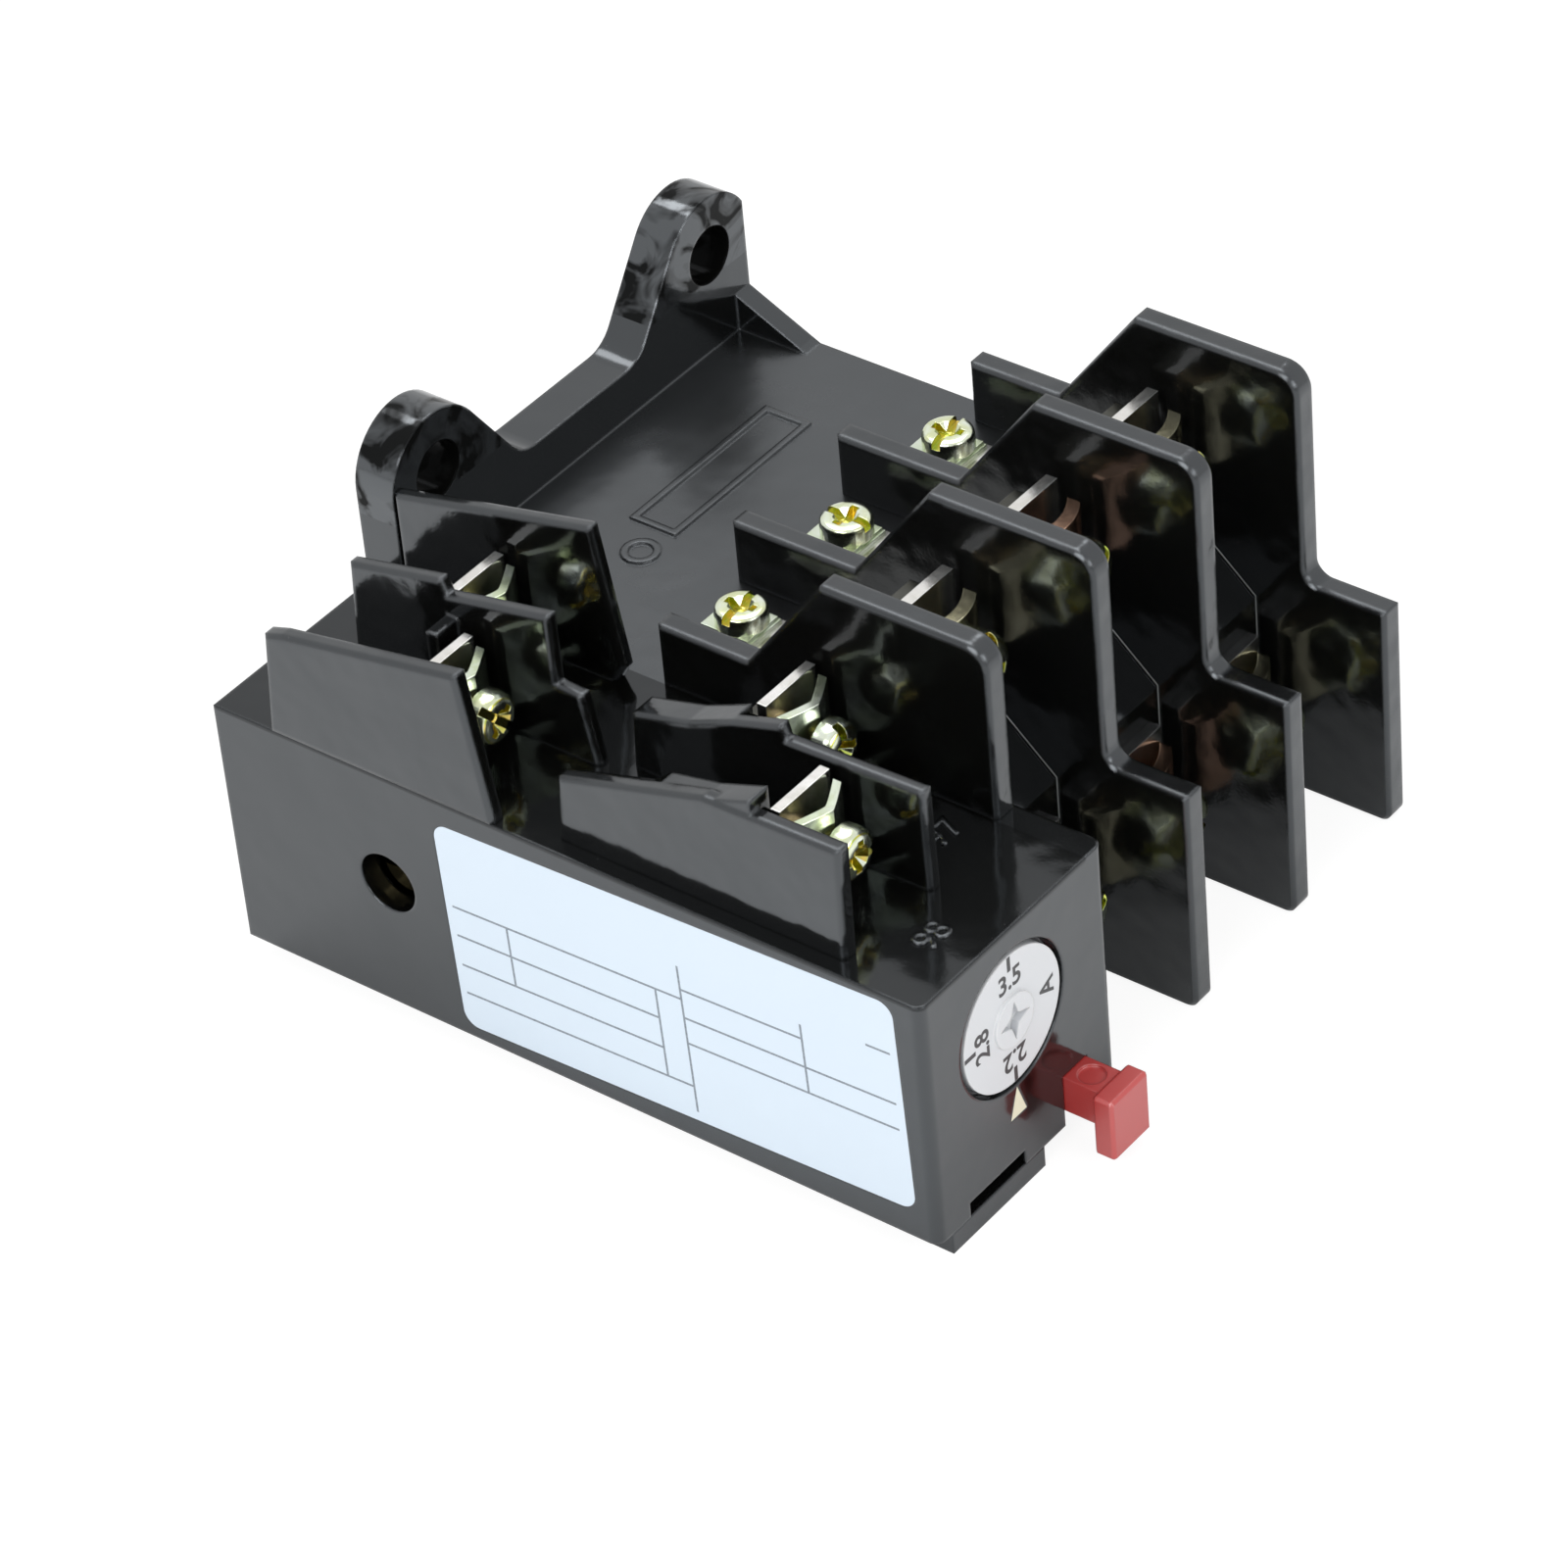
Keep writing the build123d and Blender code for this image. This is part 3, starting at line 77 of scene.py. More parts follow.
def plus(tree, a, b):
    return math2(tree, "ADD", a, b)


def minus(tree, a, b, clamp=False):
    return math2(tree, "SUBTRACT", a, b, clamp)


def mixColour(tree, factor, a, b):
    return addNode(tree, "ShaderNodeMix", {"Factor": factor, 6: a, 7: b}, data_type="RGBA").outputs[2]


def ranged(tree, value, result, source=(0.0, 1.0)):
    ends = {"From Min": source[0], "From Max": source[1], "To Min": result[0], "To Max": result[1]}
    return addNode(tree, "ShaderNodeMapRange", {"Value": value, **ends}).outputs[0]


def noise(tree, place, scale, detail, **more):
    inputs = {"Vector": place, "Scale": scale, "Detail": detail, **more}
    return addNode(tree, "ShaderNodeTexNoise", inputs).outputs["Fac"]


def joined(tree, x=0.0, y=0.0, z=0.0):
    return addNode(tree, "ShaderNodeCombineXYZ", {0: x, 1: y, 2: z}).outputs[0]


def split(tree, vector):
    return addNode(tree, "ShaderNodeSeparateXYZ", {0: vector}).outputs


# Effects that several finishes share; scales are waves in a metre
skinForm = {"cells": 620.0, "patches": 45.0, "patchRough": 0.65, "sparse": 0.54, "grainShare": 0.02,
            "depth": 0.0005, "speckShare": 0.7}
edgeGain = 4.0


def buildMouldedSkin():
    tree, groupIn, groupOut = newGroup(
        "mouldedSkin", "ShaderNodeTree",
        [
            ("Grain", "NodeSocketFloat", 2600.0), ("Flow", "NodeSocketFloat", 130.0),
            ("Dust", "NodeSocketFloat", 0.05)],
        [("Height", "NodeSocketFloat"), ("Speck", "NodeSocketFloat"), ("Cloud", "NodeSocketFloat")])
    place = objectCoords(tree)
    grain = noise(tree, place, groupIn.outputs["Grain"], 3.0)
    flow = noise(tree, place, groupIn.outputs["Flow"], 2.0)
    cells = addNode(tree, "ShaderNodeTexVoronoi", {"Vector": place, "Scale": skinForm["cells"], "Randomness": 1.0})
    speck = math2(tree, "LESS_THAN", cells.outputs["Distance"], groupIn.outputs["Dust"])
    patch = noise(tree, place, skinForm["patches"], 5.0, Roughness=skinForm["patchRough"])
    sparse = math2(tree, "GREATER_THAN", patch, skinForm["sparse"])
    height = plus(tree, times(tree, grain, skinForm["grainShare"]), flow)
    tree.links.new(height, groupOut.inputs["Height"])
    tree.links.new(times(tree, speck, sparse), groupOut.inputs["Speck"])
    tree.links.new(patch, groupOut.inputs["Cloud"])
    return tree


# Rounded-edge normals, and an edge mask that drives the painted edge highlight
def buildSoftEdge():
    tree, groupIn, groupOut = newGroup(
        "softEdge", "ShaderNodeTree",
        [("Radius", "NodeSocketFloat", 0.0003)], [("Normal", "NodeSocketVector"), ("Edge", "NodeSocketFloat")])
    bevel = addNode(tree, "ShaderNodeBevel", {"Radius": groupIn.outputs["Radius"]}, samples=6)
    flat = addNode(tree, "ShaderNodeNewGeometry").outputs["True Normal"]
    dot = addNode(tree, "ShaderNodeVectorMath", {0: bevel.outputs[0], 1: flat}, operation="DOT_PRODUCT")
    edge = times(tree, minus(tree, 1.0, dot.outputs["Value"]), edgeGain, clamp=True)
    tree.links.new(bevel.outputs[0], groupOut.inputs["Normal"])
    tree.links.new(edge, groupOut.inputs["Edge"])
    return tree


platingForm = {"distortion": 0.8, "fine": 1500.0, "blotches": (0.36, 0.62), "rough": (0.14, 0.26),
               "bump": (0.12, 0.00002, 0.00012)}


def buildPlating():
    tree, groupIn, groupOut = newGroup(
        "plating", "ShaderNodeTree",
        [("Bright", "NodeSocketColor", (0.8, 0.8, 0.78, 1)), ("Tint", "NodeSocketColor", (0.7, 0.66, 0.3, 1)),
         ("Amount", "NodeSocketFloat", 0.5), ("Size", "NodeSocketFloat", 260.0)],
        [("Color", "NodeSocketColor"), ("Roughness", "NodeSocketFloat"), ("Height", "NodeSocketFloat")])
    place = objectCoords(tree)
    blotch = noise(tree, place, groupIn.outputs["Size"], 4.0, Distortion=platingForm["distortion"])
    fine = noise(tree, place, platingForm["fine"], 2.0)
    spread = ranged(tree, blotch, (0.0, 1.0), platingForm["blotches"])
    amount = times(tree, spread, groupIn.outputs["Amount"], clamp=True)
    colour = mixColour(tree, amount, groupIn.outputs["Bright"], groupIn.outputs["Tint"])
    tree.links.new(colour, groupOut.inputs["Color"])
    tree.links.new(ranged(tree, fine, platingForm["rough"]), groupOut.inputs["Roughness"])
    tree.links.new(fine, groupOut.inputs["Height"])
    return tree


mouldedSkin = buildMouldedSkin()
softEdge = buildSoftEdge()
plating = buildPlating()
print("shared effects ready")


def startMaterial(name):
    material = bpy.data.materials.new(name)
    material.use_nodes = True
    tree = material.node_tree
    return material, tree, tree.nodes["Principled BSDF"]


def bumpFrom(tree, height, strength, distance, edgeRadius):
    edge = addNode(tree, "ShaderNodeGroup", node_tree=softEdge)
    edge.inputs["Radius"].default_value = edgeRadius
    bump = addNode(tree, "ShaderNodeBump", {
        "Strength": strength, "Distance": distance, "Height": height, "Normal": edge.outputs["Normal"]})
    return bump.outputs["Normal"], edge.outputs["Edge"]


# The ears are smeared with patches that shine less, and their bores get painted shade, their shine cut almost to
# nothing; places in metres
earLook = {"foot": 0.0365, "bores": (-0.0088, 0.0312), "boreHeight": 0.0391, "boreRadius": 0.0030, "patch": 210.0,
           "swirl": 1.2, "smears": (0.42, 0.56), "shine": (0.05, 0.7), "plain": 0.5, "bore": 0.02}


def earSmearsAndBoreShade(tree, place, look):
    smear = noise(tree, objectCoords(tree), look["patch"], 3.0, Distortion=look["swirl"])
    patches = ranged(tree, smear, look["shine"], look["smears"])
    raised = math2(tree, "GREATER_THAN", place["Z"], look["foot"])
    level = plus(tree, look["plain"], times(tree, raised, minus(tree, patches, look["plain"])))
    rise = minus(tree, place["Z"], look["boreHeight"])
    for bore in look["bores"]:
        across = minus(tree, place["Y"], bore)
        away = math2(tree, "SQRT", plus(tree, times(tree, across, across), times(tree, rise, rise)))
        outside = math2(tree, "GREATER_THAN", away, look["boreRadius"])
        # Painted shade: inside each bore the shine is cut almost to nothing
        level = times(tree, level, math2(tree, "MAXIMUM", outside, look["bore"]))
    return level


def mouldedPlastic(name, look, topLook=None):
    material, tree, shader = startMaterial(name)
    skin = addNode(tree, "ShaderNodeGroup", node_tree=mouldedSkin)
    skin.inputs["Dust"].default_value = look["dust"]
    normal, edge = bumpFrom(tree, skin.outputs["Height"], look["wave"], skinForm["depth"], look["edge"])
    base = mixColour(tree, skin.outputs["Cloud"], look["colour"], look["cloud"])
    dusty = mixColour(tree, times(tree, skin.outputs["Speck"], skinForm["speckShare"]), base, look["speck"])
    # Painted highlight: along the edges the colour is lifted towards the speck colour, standing in for the bright
    # lines light draws on rounded edges
    highlightedEdges = mixColour(tree, times(tree, edge, look["edgeHighlight"]), dusty, look["speck"])
    tree.links.new(highlightedEdges, shader.inputs["Base Color"])
    roughness = ranged(tree, skin.outputs["Cloud"], look["rough"])
    if topLook:  # the deck is etched, and the control block's top gets painted shade, its shine dimmed
        place = split(tree, objectCoords(tree))
        offTop = math2(tree, "ABSOLUTE", minus(tree, place["Z"], topLook["height"]))
        near = math2(tree, "LESS_THAN", offTop, topLook["band"])
        behind = math2(tree, "LESS_THAN", place["X"], topLook["front"])
        beside = math2(tree, "GREATER_THAN", place["Y"], topLook["side"])
        etched = times(tree, near, times(tree, behind, beside))
        roughness = plus(tree, roughness, times(tree, etched, topLook["extra"]))
        paintedTopShade = times(tree, near, minus(tree, 1.0, beside))
        topShadeDimming = minus(tree, 1.0, times(tree, paintedTopShade, topLook["paintedTopShade"]))
        level = times(tree, earSmearsAndBoreShade(tree, place, earLook), topShadeDimming)
        tree.links.new(level, shader.inputs["Specular IOR Level"])
    tree.links.new(roughness, shader.inputs["Roughness"])
    tree.links.new(normal, shader.inputs["Normal"])
    if "paintedSideShadeLevel" in look:  # painted shade: the walls' broad sides reflect less than their rims, chosen by which way each face points
        facing = split(tree, addNode(tree, "ShaderNodeNewGeometry").outputs["True Normal"])
        sideways = math2(tree, "ABSOLUTE", facing["Y"])
        level = ranged(tree, sideways, look["paintedSideShadeLevel"], look["sideFacing"])
        tree.links.new(level, shader.inputs["Specular IOR Level"])
    shader.inputs["IOR"].default_value = look["ior"]
    # Painted reflection colour: reflections take this tint, bluish on the black mouldings
    shader.inputs["Specular Tint"].default_value = look["paintedReflectionTint"]
    return material


def linkFinish(tree, finish, shader, bump):
    tree.links.new(finish.outputs["Color"], shader.inputs["Base Color"])
    tree.links.new(finish.outputs["Roughness"], shader.inputs["Roughness"])
    tree.links.new(bumpFrom(tree, finish.outputs["Height"], *bump)[0], shader.inputs["Normal"])
    shader.inputs["Metallic"].default_value = 1.0


def platedMetal(name, look):
    material, tree, shader = startMaterial(name)
    finish = addNode(tree, "ShaderNodeGroup", node_tree=plating)
    for key, value in look.items():
        finish.inputs[key.capitalize()].default_value = value
    linkFinish(tree, finish, shader, platingForm["bump"])
    return material


# The black's bluish reflection tint is painted reflection colour
blackLook = {
    "colour": (0.0026, 0.0027, 0.0024, 1), "cloud": (0.0042, 0.0043, 0.0040, 1), "speck": (0.05, 0.05, 0.05, 1),
    "dust": 0.04, "wave": 0.3, "edge": 0.0004, "edgeHighlight": 0.04, "rough": (0.05, 0.16), "ior": 1.88,
    "paintedReflectionTint": (0.88, 0.94, 1.0, 1)}
# The deck's etched roughness, and painted shade that dims the shine of the control block's top
deckGrainAndTopShade = {"height": 0.0288, "band": 0.0004, "front": 0.0, "side": -0.0128, "extra": 0.16, "paintedTopShade": 0.45}
coverLook = {**blackLook, "rough": (0.14, 0.28)}
# The walls' sides get painted shade: they reflect about half as much as the rims
barrierLook = {**blackLook, "wave": 0.9, "edge": 0.0006, "rough": (0.07, 0.22), "paintedSideShadeLevel": (0.5, 0.27),
               "sideFacing": (0.6, 0.95)}
partitionLook = {**blackLook, "wave": 0.6, "edge": 0.0006}
# A pale grey that stands in for a highlight line
highlightBeadLook = {**blackLook, "colour": (0.16, 0.165, 0.16, 1), "cloud": (0.05, 0.052, 0.05, 1), "edge": 0.00001,
                   "rough": (0.2, 0.4)}
redLook = {"colour": (0.42, 0.024, 0.022, 1), "cloud": (0.48, 0.034, 0.030, 1), "speck": (0.75, 0.25, 0.25, 1),
           "dust": 0.03, "wave": 0.08, "edge": 0.00022, "edgeHighlight": 0.2, "rough": (0.24, 0.36), "ior": 2.0,
           "paintedReflectionTint": (1, 1, 1, 1)}
whiteLook = {"colour": (0.74, 0.745, 0.75, 1), "cloud": (0.78, 0.785, 0.79, 1), "speck": (0.6, 0.6, 0.58, 1),
             "dust": 0.02, "wave": 0.05, "edge": 0.0002, "edgeHighlight": 0.02, "rough": (0.34, 0.46), "ior": 1.5,
             "paintedReflectionTint": (1, 1, 1, 1)}
# The dial's edges get a strong, near-white painted highlight
dialLook = {**whiteLook, "colour": (0.64, 0.655, 0.68, 1), "cloud": (0.68, 0.695, 0.715, 1),
            "speck": (0.93, 0.93, 0.93, 1), "edgeHighlight": 0.9, "edge": 0.0003}
innerLook = {**whiteLook, "colour": (0.66, 0.58, 0.42, 1), "cloud": (0.72, 0.64, 0.48, 1)}
creamLook = {
    **whiteLook, "colour": (0.74, 0.70, 0.52, 1), "cloud": (0.84, 0.80, 0.62, 1), "edge": 0.0001, "edgeHighlight": 0.3}
inkLook = {
    **whiteLook, "colour": (0.03, 0.03, 0.032, 1), "cloud": (0.06, 0.06, 0.064, 1), "speck": (0.2, 0.2, 0.2, 1),
    "edge": 0.00001}

plateLook = {"bright": (0.88, 0.87, 0.85, 1), "tint": (0.62, 0.60, 0.54, 1), "amount": 0.5, "size": 320.0}
zincLook = {"bright": (0.84, 0.90, 0.78, 1), "tint": (0.66, 0.70, 0.30, 1), "amount": 0.6, "size": 420.0}
recessLook = {"bright": (0.80, 0.62, 0.16, 1), "tint": (0.50, 0.62, 0.14, 1), "amount": 0.9, "size": 700.0}
threadLook = {"bright": (0.46, 0.36, 0.22, 1), "tint": (0.20, 0.17, 0.10, 1), "amount": 0.7, "size": 500.0}
greenZincLook = {"bright": (0.74, 0.80, 0.70, 1), "tint": (0.56, 0.66, 0.38, 1), "amount": 0.6, "size": 260.0}
darkSteelLook = {"bright": (0.42, 0.42, 0.42, 1), "tint": (0.30, 0.27, 0.24, 1), "amount": 0.5, "size": 300.0}
bimetalLook = {"bright": (0.60, 0.55, 0.48, 1), "tint": (0.45, 0.36, 0.30, 1), "amount": 0.6, "size": 200.0}
# Painted shade: a brass far darker than plain brass, for the screw deep in its well
shadeDarkBrassLook = {"bright": (0.10, 0.075, 0.025, 1), "tint": (0.05, 0.04, 0.015, 1), "amount": 0.6, "size": 300.0}
# Painted shade: a near-black steel for the nuts that sit in shade behind the plates
shadeDarkSteelLook = {"bright": (0.10, 0.10, 0.09, 1), "tint": (0.05, 0.05, 0.04, 1), "amount": 0.6, "size": 300.0}
brassLook = {"bright": (0.80, 0.63, 0.36, 1), "tint": (0.62, 0.42, 0.20, 1), "amount": 0.6, "size": 300.0}

blackHousing = mouldedPlastic("blackHousing", blackLook, deckGrainAndTopShade)
blackMoulding = mouldedPlastic("blackMoulding", blackLook)
blackBarrier = mouldedPlastic("blackBarrier", barrierLook)
blackPartition = mouldedPlastic("blackPartition", partitionLook)
dialWhite = mouldedPlastic("dialWhite", dialLook)
blackCover = mouldedPlastic("blackCover", coverLook)
redPlastic = mouldedPlastic("redPlastic", redLook)
innerPlastic = mouldedPlastic("innerPlastic", innerLook)
creamPaint = mouldedPlastic("creamPaint", creamLook)
highlightBeadPlastic = mouldedPlastic("highlightBeadPlastic", highlightBeadLook)
dialInk = mouldedPlastic("dialInk", inkLook)
tinPlate = platedMetal("tinPlate", plateLook)
yellowZinc = platedMetal("yellowZinc", zincLook)
recessZinc = platedMetal("recessZinc", recessLook)
threadSteel = platedMetal("threadSteel", threadLook)
greenZinc = platedMetal("greenZinc", greenZincLook)
darkSteel = platedMetal("darkSteel", darkSteelLook)
rolledBimetal = platedMetal("rolledBimetal", bimetalLook)
plainBrass = platedMetal("plainBrass", brassLook)
shadeDarkBrass = platedMetal("shadeDarkBrass", shadeDarkBrassLook)
shadeDarkSteel = platedMetal("shadeDarkSteel", shadeDarkSteelLook)

# Clamp washers: brass in the outer bays and copper in the middle one, chosen by where the washer sits
saddleLook = {"middleBay": 0.0119, "halfBay": 0.0078, "tarnish": 0.8, "bump": (0.15, 0.00002, 0.00015),
              "brass": (0.78, 0.74, 0.52, 1), "brassTint": (0.56, 0.52, 0.33, 1),
              "copper": (0.80, 0.50, 0.36, 1), "copperTint": (0.54, 0.33, 0.22, 1)}


def saddleMetal(look):
    material, tree, shader = startMaterial("saddleMetal")
    along = split(tree, objectCoords(tree))["Y"]
    fromMiddle = math2(tree, "ABSOLUTE", minus(tree, along, look["middleBay"]))
    isMiddle = math2(tree, "LESS_THAN", fromMiddle, look["halfBay"])
    finish = addNode(tree, "ShaderNodeGroup", node_tree=plating)
    finish.inputs["Amount"].default_value = look["tarnish"]
    tree.links.new(mixColour(tree, isMiddle, look["brass"], look["copper"]), finish.inputs["Bright"])
    tree.links.new(mixColour(tree, isMiddle, look["brassTint"], look["copperTint"]), finish.inputs["Tint"])
    linkFinish(tree, finish, shader, look["bump"])
    return material


# Label: a pale sheet with the thin ruled lines of an empty table, in millimetres from its middle
labelLook = {
    "middle": (0.00845, 0.0157), "tilt": 2.2, "colour": (0.66, 0.755, 0.855, 1), "cloud": (0.69, 0.785, 0.875, 1),
    "line": (0.10, 0.12, 0.15, 1), "lineWidth": 0.24, "clouds": 70.0, "fibres": 5200.0, "fade": (0.55, 1.0),
    "rough": (0.38, 0.55), "bump": (0.06, 0.00001, 0.00005)}
labelRows = [(2.3, -24.4, 1.5), (-0.95, -24.4, -1.4), (-4.3, -24.4, -1.5), (-7.5, -24.4, 1.4),
             (3.4, 1.5, 14.7), (0.25, 1.5, 24.4), (-2.6, 1.5, 24.4), (5.75, 21.8, 24.4)]
labelColumns = [(-18.2, -4.3, 2.3), (-1.45, -7.5, 2.3), (1.45, -10.4, 6.0), (14.7, -2.6, 5.0)]


def buildRuledLine():
    tree, groupIn, groupOut = newGroup(
        "ruledLine", "ShaderNodeTree",
        [("Across", "NodeSocketFloat", 0.0), ("Along", "NodeSocketFloat", 0.0), ("Place", "NodeSocketFloat", 0.0),
         ("From", "NodeSocketFloat", 0.0), ("To", "NodeSocketFloat", 0.0), ("Width", "NodeSocketFloat", 0.1)],
        [("Mask", "NodeSocketFloat")])
    off = math2(tree, "ABSOLUTE", minus(tree, groupIn.outputs["Across"], groupIn.outputs["Place"]))
    thin = math2(tree, "LESS_THAN", off, times(tree, groupIn.outputs["Width"], 0.5))
    after = math2(tree, "GREATER_THAN", groupIn.outputs["Along"], groupIn.outputs["From"])
    before = math2(tree, "LESS_THAN", groupIn.outputs["Along"], groupIn.outputs["To"])
    tree.links.new(times(tree, thin, times(tree, after, before)), groupOut.inputs["Mask"])
    return tree


def labelPaper(look):
    material, tree, shader = startMaterial("labelPaper")
    ruledLine = buildRuledLine()
    middle = (look["middle"][0], 0, look["middle"][1])
    shifted = addNode(tree, "ShaderNodeVectorMath", {0: objectCoords(tree), 1: middle}, operation="SUBTRACT")
    turned = addNode(tree, "ShaderNodeMapping", {
        "Vector": shifted.outputs[0], "Rotation": (0, math.radians(look["tilt"]), 0),
        "Scale": (1 / mm, 1 / mm, 1 / mm)}, vector_type="POINT")
    place = split(tree, turned.outputs[0])
    along, up = place["X"], place["Z"]
    mask = None
    for across, run, marks in ((up, along, labelRows), (along, up, labelColumns)):
        for where, start, end in marks:
            line = addNode(tree, "ShaderNodeGroup", node_tree=ruledLine)
            tree.links.new(across, line.inputs["Across"])
            tree.links.new(run, line.inputs["Along"])
            for key, value in (("Place", where), ("From", start), ("To", end), ("Width", look["lineWidth"])):
                line.inputs[key].default_value = value
            mask = line.outputs[0] if mask is None else math2(tree, "MAXIMUM", mask, line.outputs[0])
    cloud = noise(tree, objectCoords(tree), look["clouds"], 4.0)
    fibre = noise(tree, objectCoords(tree), look["fibres"], 2.0)
    sheet = mixColour(tree, cloud, look["colour"], look["cloud"])
    faded = times(tree, mask, ranged(tree, fibre, look["fade"]))
    tree.links.new(mixColour(tree, faded, sheet, look["line"]), shader.inputs["Base Color"])
    tree.links.new(ranged(tree, fibre, look["rough"]), shader.inputs["Roughness"])
    normal = bumpFrom(tree, fibre, *look["bump"])[0]
    tree.links.new(normal, shader.inputs["Normal"])
    return material


saddleMetalMix = saddleMetal(saddleLook)
labelSheet = labelPaper(labelLook)
print("materials ready:", len(bpy.data.materials))

finishes = {
    blackHousing: ["main_housing"],
    blackBarrier: ["phase_barriers"],
    blackPartition: ["aux_partitions"],
    blackCover: ["bottom_cover"],
    labelSheet: ["rating_label"],
    tinPlate: ["upper_terminals", "lower_terminals", "bimetal_brackets", "aux_terminal_rear_near",
               "aux_terminal_rear_far", "aux_terminal_front_far", "aux_terminal_front_near"],
    saddleMetalMix: ["upper_clamp_washers", "lower_clamp_washers"],
    greenZinc: ["aux_clamp_washers", "square_washers", "upper_lock_washers", "lower_lock_washers"],
    # Painted shade: the nuts behind the plates are coloured near black
    shadeDarkSteel: ["upper_nuts", "aux_nuts"],
    # Painted shade: the reset-mode screw is coloured far darker than plain brass
    shadeDarkBrass: ["reset_mode_screw"],
    yellowZinc: ["cover_screws", "upper_terminal_screws", "lower_terminal_screws", "aux_terminal_screws",
                 "deck_screws"],
    plainBrass: ["lower_inserts", "moving_contact"],
    rolledBimetal: ["bimetal_1", "bimetal_2", "bimetal_3", "compensating_strip"],
    darkSteel: ["heater_windings", "trip_pivot_pin", "adjusting_lever", "adjusting_pin", "dial_friction_washer",
                "dial_clip", "reset_spring"],
    innerPlastic: ["push_bar", "differential_bar", "trip_lever", "setting_cam"],
    dialWhite: ["setting_dial"],
    creamPaint: ["dial_pointer"],
    redPlastic: ["reset_button"],
}
for material, names in finishes.items():
    for name in names:
        piece = cadNodes[name]
        if not piece.material_slots:
            piece.data.materials.append(material)
        for slot in piece.material_slots:
            slot.material = material
print("CAD pieces dressed")


def placed(name, data):
    thing = bpy.data.objects.new(name, data)
    bpy.context.scene.collection.objects.link(thing)
    return thing


def settledMesh(carrier):
    bpy.context.view_layer.update()
    mesh = bpy.data.meshes.new_from_object(carrier.evaluated_get(bpy.context.evaluated_depsgraph_get()))
    carrier.modifiers.clear()
    bpy.data.objects.remove(carrier)
    return mesh


def meshObject(name, verts, faces, material=None):
    mesh = bpy.data.meshes.new(name)
    mesh.from_pydata(verts, [], faces)
    mesh.update()
    if material:
        mesh.materials.append(material)
    return placed(name, mesh)


def bakeTree(name, points, tree, values, body, replaced=()):
    carrier = meshObject(name + "Points", points, [])
    modifier = carrier.modifiers.new("build", "NODES")
    modifier.node_group = tree
    identifiers = {item.name: item.identifier for item in tree.interface.items_tree if item.in_out == "INPUT"}
    for key, value in values.items():
        modifier[identifiers[key]] = value
    carrier.update_tag()
    mesh = settledMesh(carrier)
    piece = placed(name, mesh)
    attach(piece, body)
    if replaced:
        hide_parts(*replaced)
    print(name, "made:", len(mesh.polygons), "faces")


seamGap = 0.004 * mm
rimGap = 0.02 * mm


def closeSeam(tree, geometry, gap=seamGap):
    return addNode(tree, "GeometryNodeMergeByDistance", {"Geometry": geometry, "Distance": gap}).outputs[0]


def boxAt(tree, size, lift):
    cube = addNode(tree, "GeometryNodeMeshCube", {"Size": joined(tree, *size)})
    return addNode(
        tree, "GeometryNodeTransform", {"Geometry": cube.outputs["Mesh"], "Translation": lift}).outputs[0]


def unitGrid(tree, across, along):
    grid = addNode(tree, "GeometryNodeMeshGrid", {
        "Size X": 1.0, "Size Y": 1.0, "Vertices X": across, "Vertices Y": along})
    spot = split(tree, addNode(tree, "GeometryNodeInputPosition").outputs[0])
    return grid.outputs["Mesh"], plus(tree, spot["X"], 0.5), plus(tree, spot["Y"], 0.5)


def roundForm(tree, mesh, around, radius, height):
    x, y = (times(tree, math2(tree, wave, around), radius) for wave in ("COSINE", "SINE"))
    moved = addNode(tree, "GeometryNodeSetPosition", {"Geometry": mesh, "Position": joined(tree, x, y, height)})
    return closeSeam(tree, moved.outputs[0])


def finishedCopies(tree, groupIn, groupOut, shape, metal):
    copies = addNode(tree, "GeometryNodeInstanceOnPoints", {
        "Points": groupIn.outputs["Geometry"], "Instance": shape})
    real = addNode(tree, "GeometryNodeRealizeInstances", {0: copies.outputs[0]})
    done = addNode(tree, "GeometryNodeSetMaterial", {"Geometry": real.outputs[0], "Material": metal})
    tree.links.new(done.outputs[0], groupOut.inputs[0])


def markedAs(tree, number):
    tag = addNode(tree, "GeometryNodeInputNamedAttribute", {"Name": "zone"}, data_type="INT")
    found = next(socket for socket in tag.outputs if socket.enabled and socket.name == "Attribute")
    return addNode(
        tree, "FunctionNodeCompare", {2: found, 3: number}, data_type="INT", operation="EQUAL").outputs[0]


# Screws: a pan head with a slot, a cross and a sunken middle, on a threaded shank, set on each station.
# Widths of the recess are shares of the head's radius, its depths shares of the slot's depth
screwForm = {"headMesh": (65, 25), "shankMesh": (33, 97), "slotLength": 2.2, "crossLength": 1.25, "crossDepth": 1.3,
             "wellSides": 8, "wellTop": 0.62, "wellBottom": 0.2, "wellDepth": 1.5, "wellSink": 1.1,
             "threadMiddle": 0.93, "threadSwing": 0.07, "closed": (0.005, 0.995), "recessReach": 0.86,
             "recessHeights": (0.05, 0.9), "shankTop": -0.02 * mm, "spin": 3.14}


